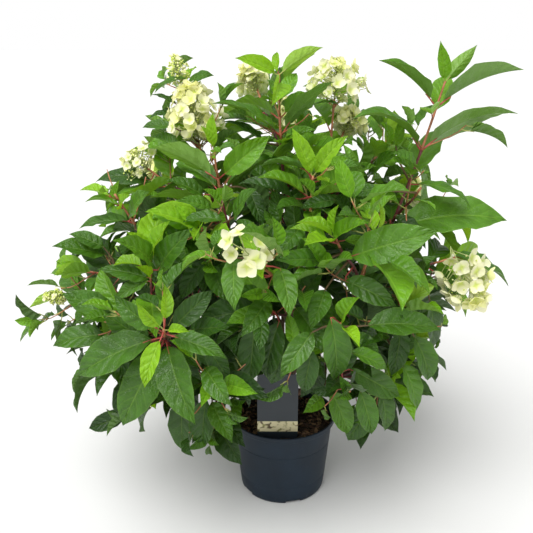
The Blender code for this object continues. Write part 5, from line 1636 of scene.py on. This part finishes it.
def makeBlossom():
    florets, buds, stalks = {"cream": [], "pale": []}, {"lime": [], "pale": []}, []

    def item(centre, up, size, spin=0.0, which=0):
        turn = (up.to_track_quat("Z", "Y") @ Quaternion((0, 0, 1), spin)).to_euler()
        return centre, tuple(turn), (size,) * 3, which

    for shoot in shoots:
        kind = shoot["entry"].get("blossom")
        if not kind:
            continue
        rule = blossomRule[kind]
        length, radius = shoot["entry"]["size"]
        tip, way, side, other = blossomFrame(shoot)
        dice = random.Random(shoot["seed"] * 3)

        def around(share, reach, turn):
            return tip + way * (length * share) + (side * math.cos(turn) + other * math.sin(turn)) * reach

        stalks.append([(around(share, 0, 0), radius) for share, radius in blossomRule["core"]])
        for k in range(rule["florets"]):
            share = ((k + 0.5) / rule["florets"]) ** 0.85 * 0.97
            turn = k * 2.4 + dice.uniform(-0.3, 0.3)
            reach = radius * coneBreadth(share) * dice.uniform(0.64, 1.12)
            if kind == "open":
                share, reach = dice.uniform(0.25, 0.95), radius * (0.80 if k else 0.1)
            centre = around(share, reach, turn)
            inner = around(share - 0.25, 0, 0)
            up = (centre - inner).normalized() + Vector([dice.uniform(-0.35, 0.35) for _ in range(3)])
            if kind == "open":
                up = up + Vector((0, -0.9, 0.35))
            size = rule["size"] * dice.uniform(0.8, 1.12)
            high = share > 0.7 and kind != "open"
            tone = "cream" if dice.random() < blossomRule["creamShare"][high] else "pale"
            spin, which = dice.uniform(0, 6.28), dice.randrange(3)
            florets[tone].append(item(centre, up.normalized(), size, spin, which))
            stalks.append([(inner, blossomRule["stalk"] * 1.3), (centre, blossomRule["stalk"])])
        for k in range(rule["buds"]):
            share = ((k + 0.5) / rule["buds"]) ** 0.9
            turn = k * 2.4 + dice.uniform(-0.5, 0.5)
            reach = radius * coneBreadth(share) * dice.uniform(0.45, 0.86 if kind == "dense" else 0.98)
            centre = around(share, reach, turn)
            size = blossomRule["budRadius"] * dice.uniform(0.65, 1.15)
            tone = "lime" if dice.random() < (0.75 if kind == "bud" else 0.5) else "pale"
            buds[tone].append(item(centre, way, size))
            if k % 3 == 0:
                stalks.append([(around(share - 0.15, 0, 0), 0.0007), (centre, 0.0004)])
    floretShapes = [floretShape("floret" + str(k), cup, k + 1) for k, cup in enumerate(blossomRule["cups"])]
    budShapes = [budShape("bud0")]
    floretHome = hiddenCollection("floret shapes", floretShapes)
    budHome = hiddenCollection("bud shapes", budShapes)
    eye = blossomRule["lime"]
    made = [
        spread("florets_" + tone, floretHome, items, petalLook("petal " + tone, blossomRule[tone], eye))
        for tone, items in florets.items()
    ]
    made += [
        spread("buds_" + tone, budHome, items, plainLook("bud " + tone, blossomRule[tone]))
        for tone, items in buds.items()
    ]
    discard(floretShapes + budShapes)
    made.append(limbObject("blossomStalks", stalks, plainLook("blossom stalk", blossomRule["stem"]), 5))
    return made


blossomPieces = makeBlossom()
print("blossom made")


# Pot

potShape = {
    "rimHeight": 0.012,
    "lip": 0.0065,
    "baseRadius": 0.0925,
    "corner": 0.008,
    "wall": 0.0022,
    "steps": 128,
    "lines": (  # two fine moulding lines round the wall: height and depth
        (0.120, 0), (0.1192, 0.0005), (0.1188, 0), (0.040, 0), (0.0396, 0.0005), (0.0388, 0),
    ),
    "drains": 5,
    "drainWidth": 0.034,
    "drainHeight": 0.009,
    "drainTurn": -76.0,
    "colour": (0.0070, 0.0160, 0.0280),
    "scuffs": (0.13, 0.135, 0.14),
    "dust": (0.22, 0.19, 0.15),
}


def turned(name, profile, steps, material):  # a closed profile of (radius, height) round the Z axis
    points, faces = [], []
    count = len(profile)
    for i in range(steps):
        turn = math.tau * i / steps
        points += [(r * math.cos(turn), r * math.sin(turn), z) for r, z in profile]
    for i in range(steps):
        for k in range(count - 1):
            a, b = i * count + k, (i + 1) % steps * count + k
            faces.append((a, a + 1, b + 1, b))
    made = meshObject(name, points, faces, material)
    edit = bmesh.new()
    edit.from_mesh(made.data)
    bmesh.ops.remove_doubles(edit, verts=edit.verts, dist=1e-6)
    bmesh.ops.recalc_face_normals(edit, faces=edit.faces)
    edit.to_mesh(made.data)
    edit.free()
    made.data.set_sharp_from_angle(angle=math.radians(38))
    return made


def potWall(height):
    top = potHigh.x - potShape["lip"]
    base = potShape["baseRadius"]
    return base + (top - base) * height / (potHigh.z - potShape["rimHeight"])


def plasticLook(name, colour):
    look = Look(name)
    height = look.height()
    grain = look.noise(900.0, 2.0)
    cloud = look.noise(14.0, 4.0)
    scuff = look.node(
        "ShaderNodeTexNoise", sockets={
            "Vector": look.vectors("MULTIPLY", look.place, (1, 1, 0.12)), "Scale": 160.0, "Detail": 4.0,
        },
    )
    body = look.mix(cloud.ramp(0.35, 0.7), rgba(shade(colour, 0.85)), rgba(shade(colour, 1.2)))
    edge = height.ramp(potHigh.z - 0.004, potHigh.z) * 0.35 + (1.0 - height.ramp(0.0, 0.03)) * 0.25
    body = look.mix(scuff.ramp(0.60, 0.75) * edge, body, rgba(potShape["scuffs"]))
    dust = look.noise(420.0, 2.0).ramp(0.66, 0.74) * 0.10
    body = look.mix(dust, body, rgba(potShape["dust"]))
    return look.finish({
        "Base Color": body,
        "Roughness": cloud * 0.16 + 0.42,
        "Normal": look.bump(grain * 0.5 + scuff * 0.5, 0.12, 0.0004),
        "Specular IOR Level": 0.28,
    })


def makePot():
    rim, top = potHigh.x, potHigh.z
    under = top - potShape["rimHeight"]
    base, corner, wall = potShape["baseRadius"], potShape["corner"], potShape["wall"]
    outside = [
        (rim - 0.0022, top), (rim - 0.0009, top - 0.0004), (rim - 0.0001, top - 0.0014), (rim, top - 0.0028),
        (rim - 0.0003, under + 0.0018), (rim - 0.0010, under + 0.0006), (rim - 0.0024, under),
        (potWall(under) + 0.0006, under - 0.0006), (potWall(under), under - 0.0022),
    ]
    for height, depth in potShape["lines"]:
        outside.append((potWall(height) - depth, height))
    for degrees in range(0, 91, 15):
        turn = math.radians(degrees)
        outside.append((base - corner * (1 - math.cos(turn)), corner * (1 - math.sin(turn))))
    outside += [(base - 0.018, 0.0), (base - 0.020, 0.0016), (0.0, 0.0016)]
    inside = [
        (0, wall + 0.0016), (base - corner, wall + 0.0016), (potWall(corner) - wall, corner),
        (potWall(under) - wall, under), (rim - wall - 0.0014, under + 0.004),
        (rim - wall - 0.0012, top - 0.0014), (rim - wall - 0.0006, top - 0.0003), (rim - 0.0022, top),
    ]
    plastic = plasticLook("pot plastic", potShape["colour"])
    pot = turned("nurseryPot", outside + inside, potShape["steps"], plastic)
    cutters = []
    for i in range(potShape["drains"]):
        turn = math.radians(potShape["drainTurn"] + 360 / potShape["drains"] * i)
        low, high = base - corner - wall, base + 0.01
        half, tall = potShape["drainWidth"] / 2, potShape["drainHeight"]
        points = [(x, y, z) for x in (low, high) for y in (-half, half) for z in (-0.01, tall)]
        faces = [(0, 1, 3, 2), (4, 6, 7, 5), (0, 4, 5, 1), (2, 3, 7, 6), (0, 2, 6, 4), (1, 5, 7, 3)]
        cutter = meshObject("drain" + str(i), points, faces, smooth=False)
        cutter.rotation_euler.z = turn
        cut = pot.modifiers.new("drain", "BOOLEAN")
        cut.operation, cut.solver, cut.object = "DIFFERENCE", "EXACT", cutter
        cutters.append(cutter)
    mesh = evaluatedMesh(pot)
    pot.modifiers.clear()
    pot.data = mesh
    discard(cutters)
    return pot


potPiece = makePot()
print("pot made")


# Soil and tag

soilShape = {
    "rings": 22,
    "steps": 72,
    "waves": 0.0012,
    "crumbs": 0.0010,
    "chips": 900,
    "chipSize": (0.004, 0.011),
    "tones": {
        "dark": (0.030, 0.017, 0.010),
        "brown": (0.085, 0.045, 0.024),
        "tan": (0.22, 0.13, 0.07),
    },
}


def chipShape(name, seed):  # a flat, broken flake of bark
    dice = random.Random(seed)
    sides = 7
    top, bottom = [], []
    for k in range(sides):
        turn = math.tau * k / sides
        reach = dice.uniform(0.7, 1.1)
        x, y = reach * math.cos(turn), 0.55 * reach * math.sin(turn)
        top.append((x * 0.9, y * 0.9, 0.14 + dice.uniform(-0.06, 0.08)))
        bottom.append((x, y, -0.12 + dice.uniform(-0.05, 0.05)))
    points = top + bottom
    faces = [tuple(range(sides)), tuple(reversed(range(sides, 2 * sides)))]
    faces += [(k, sides + k, sides + (k + 1) % sides, (k + 1) % sides) for k in range(sides)]
    return meshObject(name, points, faces, smooth=False)


def makeSoil():
    dice = random.Random(5)
    radius = potWall(soilTop) - 0.0026
    rings, steps = soilShape["rings"], soilShape["steps"]
    points, faces = [(0, 0, soilTop - 0.001)], []
    for i in range(1, rings + 1):
        for k in range(steps):
            turn = math.tau * k / steps
            reach = radius * i / rings
            bumpy = 0.5 * math.sin(reach * 310 + k * 1.7) + 0.5 * math.sin(k * 2.9 + i * 1.3)
            height = soilTop - 0.0022 + soilShape["waves"] * bumpy
            height += dice.uniform(-soilShape["crumbs"], soilShape["crumbs"])
            points.append((reach * math.cos(turn), reach * math.sin(turn), height))
    for k in range(steps):
        faces.append((0, 1 + k, 1 + (k + 1) % steps))
        for i in range(rings - 1):
            a, b = 1 + i * steps, 1 + (i + 1) * steps
            faces.append((a + k, b + k, b + (k + 1) % steps, a + (k + 1) % steps))
    last = 1 + (rings - 1) * steps
    foot = len(points)
    inner = (potShape["baseRadius"] - potShape["corner"] - potShape["wall"]) / radius
    points += [(x * inner, y * inner, 0.006) for x, y, _ in points[last:last + steps]]
    for k in range(steps):
        faces.append((last + k, foot + k, foot + (k + 1) % steps, last + (k + 1) % steps))
    faces.append(tuple(range(foot + steps - 1, foot - 1, -1)))
    bed = meshObject("compost", points, faces, woodLook("compost", soilShape["tones"]["dark"], 0.85, 0.3))
    shapes = [chipShape("chip" + str(i), 40 + i) for i in range(5)]
    home = hiddenCollection("chip shapes", shapes)
    made = [bed]
    names = list(soilShape["tones"])
    dealt = {name: [] for name in names}
    for i in range(soilShape["chips"]):
        reach = radius * math.sqrt(dice.random()) * 0.97
        turn = dice.uniform(0, math.tau)
        x, y = reach * math.cos(turn), reach * math.sin(turn)
        if tagLow.x - 0.003 < x < tagHigh.x + 0.003 and abs(y - tagLow.y) < 0.008 or reach < 0.026:
            continue
        size = dice.uniform(*soilShape["chipSize"])
        lean = (dice.uniform(-0.45, 0.45), dice.uniform(-0.45, 0.45), dice.uniform(0, 6.28))
        height = soilTop - 0.001 + dice.uniform(0, 0.0035)
        scale = (size, size * dice.uniform(0.6, 1.1), size * dice.uniform(0.7, 1.3))
        tone = names[min(2, int(dice.random() ** 1.5 * 3.0))]
        dealt[tone].append(((x, y, height), lean, scale, dice.randrange(5)))
    for name, items in dealt.items():
        look = woodLook("bark chip " + name, soilShape["tones"][name], 0.80, 0.2)
        made.append(spread("barkChips_" + name, home, items, look))
    discard(shapes)
    return made


tagShape = {
    "card": (0.018, 0.025, 0.032),
    "foot": 0.016,  # where the printed strip starts and ends, above the soil
    "top": 0.040,
    "cream": (0.66, 0.60, 0.36),
    "olive": (0.26, 0.25, 0.085),
    "brown": (0.085, 0.050, 0.022),
}


def tagLook():  # a slate card with a printed strip near its foot, blotched like blossom among leaves
    look = Look("tag card")
    height = look.height()
    foot, top = soilTop + tagShape["foot"], soilTop + tagShape["top"]
    strip = height.ramp(foot, foot + 0.0006) * (1.0 - height.ramp(top, top + 0.0006))
    blooms = look.cells(150.0, "SMOOTH_F1")
    ground = look.mix(look.noise(90.0).ramp(0.42, 0.58), rgba(tagShape["olive"]), rgba(tagShape["brown"]))
    strewn = blooms.ramp(0.66, 0.48) * look.noise(60.0).ramp(0.24, 0.40)
    printed = look.mix(strewn, ground, rgba(tagShape["cream"]))
    card = look.mix(look.noise(30.0), rgba(tagShape["card"]), rgba(shade(tagShape["card"], 1.3)))
    body = look.mix(strip, card, printed)
    return look.finish({
        "Base Color": body,
        "Roughness": look.noise(120.0) * 0.1 + 0.38,
        "Normal": look.bump(look.noise(500.0), 0.08, 0.0003),
    })


soilPieces = makeSoil()
tagNode = frame["nodes"]["tag"]
tagNode.data.materials.clear()
tagNode.data.materials.append(tagLook())
print("soil and tag made")


# Pieces to bodies

foliageNodes = ["foliage_" + name for name in masses]
boughNodes = ["bough_" + name for name in masses]
for piece in leafPieces + stemPieces + blossomPieces + barkPieces + soilPieces + [potPiece]:
    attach(piece, "root")
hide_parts(*foliageNodes)
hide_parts(*boughNodes)
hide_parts("trunk")
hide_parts("soil")
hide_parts("pot")


# Floor, light and camera

studio = {
    "floor": (0.80, 0.80, 0.79),
    "reach": 80.0,
    "horizon": 1.0,
    "sky": 0.54,
    "sun": 3.3,
    "softness": 50.0,  # degrees
    "from": (-0.35, -0.58, 1.05),
    "lens": 46.5,
    "cameraTilt": 72.0,  # degrees up from looking straight down
}


def makeStudio():
    look = Look("pale floor")
    tone = look.mix(look.noise(3.0) * 0.3, rgba(studio["floor"]), rgba(shade(studio["floor"], 0.97)))
    material = look.finish({"Base Color": tone, "Roughness": look.noise(5.0) * 0.1 + 0.7})
    reach = studio["reach"]
    corners = [(-reach, -reach, 0), (reach, -reach, 0), (reach, reach, 0), (-reach, reach, 0)]
    meshObject("floor", corners, [(0, 1, 2, 3)], material)
    world = bpy.data.worlds.new("studio")
    world.use_nodes = True
    bpy.context.scene.world = world
    net = Net(world.node_tree)
    height = net.node("ShaderNodeSeparateXYZ", sockets={0: net.node("ShaderNodeTexCoord")}, output=2)
    light = height.ramp(0.22, 0.08) * (studio["horizon"] - studio["sky"]) + studio["sky"]
    background = world.node_tree.nodes["Background"]
    world.node_tree.links.new(light.socket, background.inputs["Strength"])
    background.inputs["Color"].default_value = (1, 1, 1, 1)
    lamp = bpy.data.lights.new("sky light", "SUN")
    lamp.energy = studio["sun"]
    lamp.angle = math.radians(studio["softness"])
    placed("sky light", lamp).rotation_euler = Vector(studio["from"]).to_track_quat("Z", "Y").to_euler()
    bpy.context.scene.view_settings.view_transform = "Standard"


def makeCamera():
    lens = bpy.data.cameras.new("camera")
    lens.lens, lens.sensor_width = studio["lens"], 36.0
    camera = placed("camera", lens)
    camera.location = eye
    camera.rotation_euler = (math.radians(studio["cameraTilt"]), 0, 0)
    bpy.context.scene.camera = camera


makeStudio()
makeCamera()
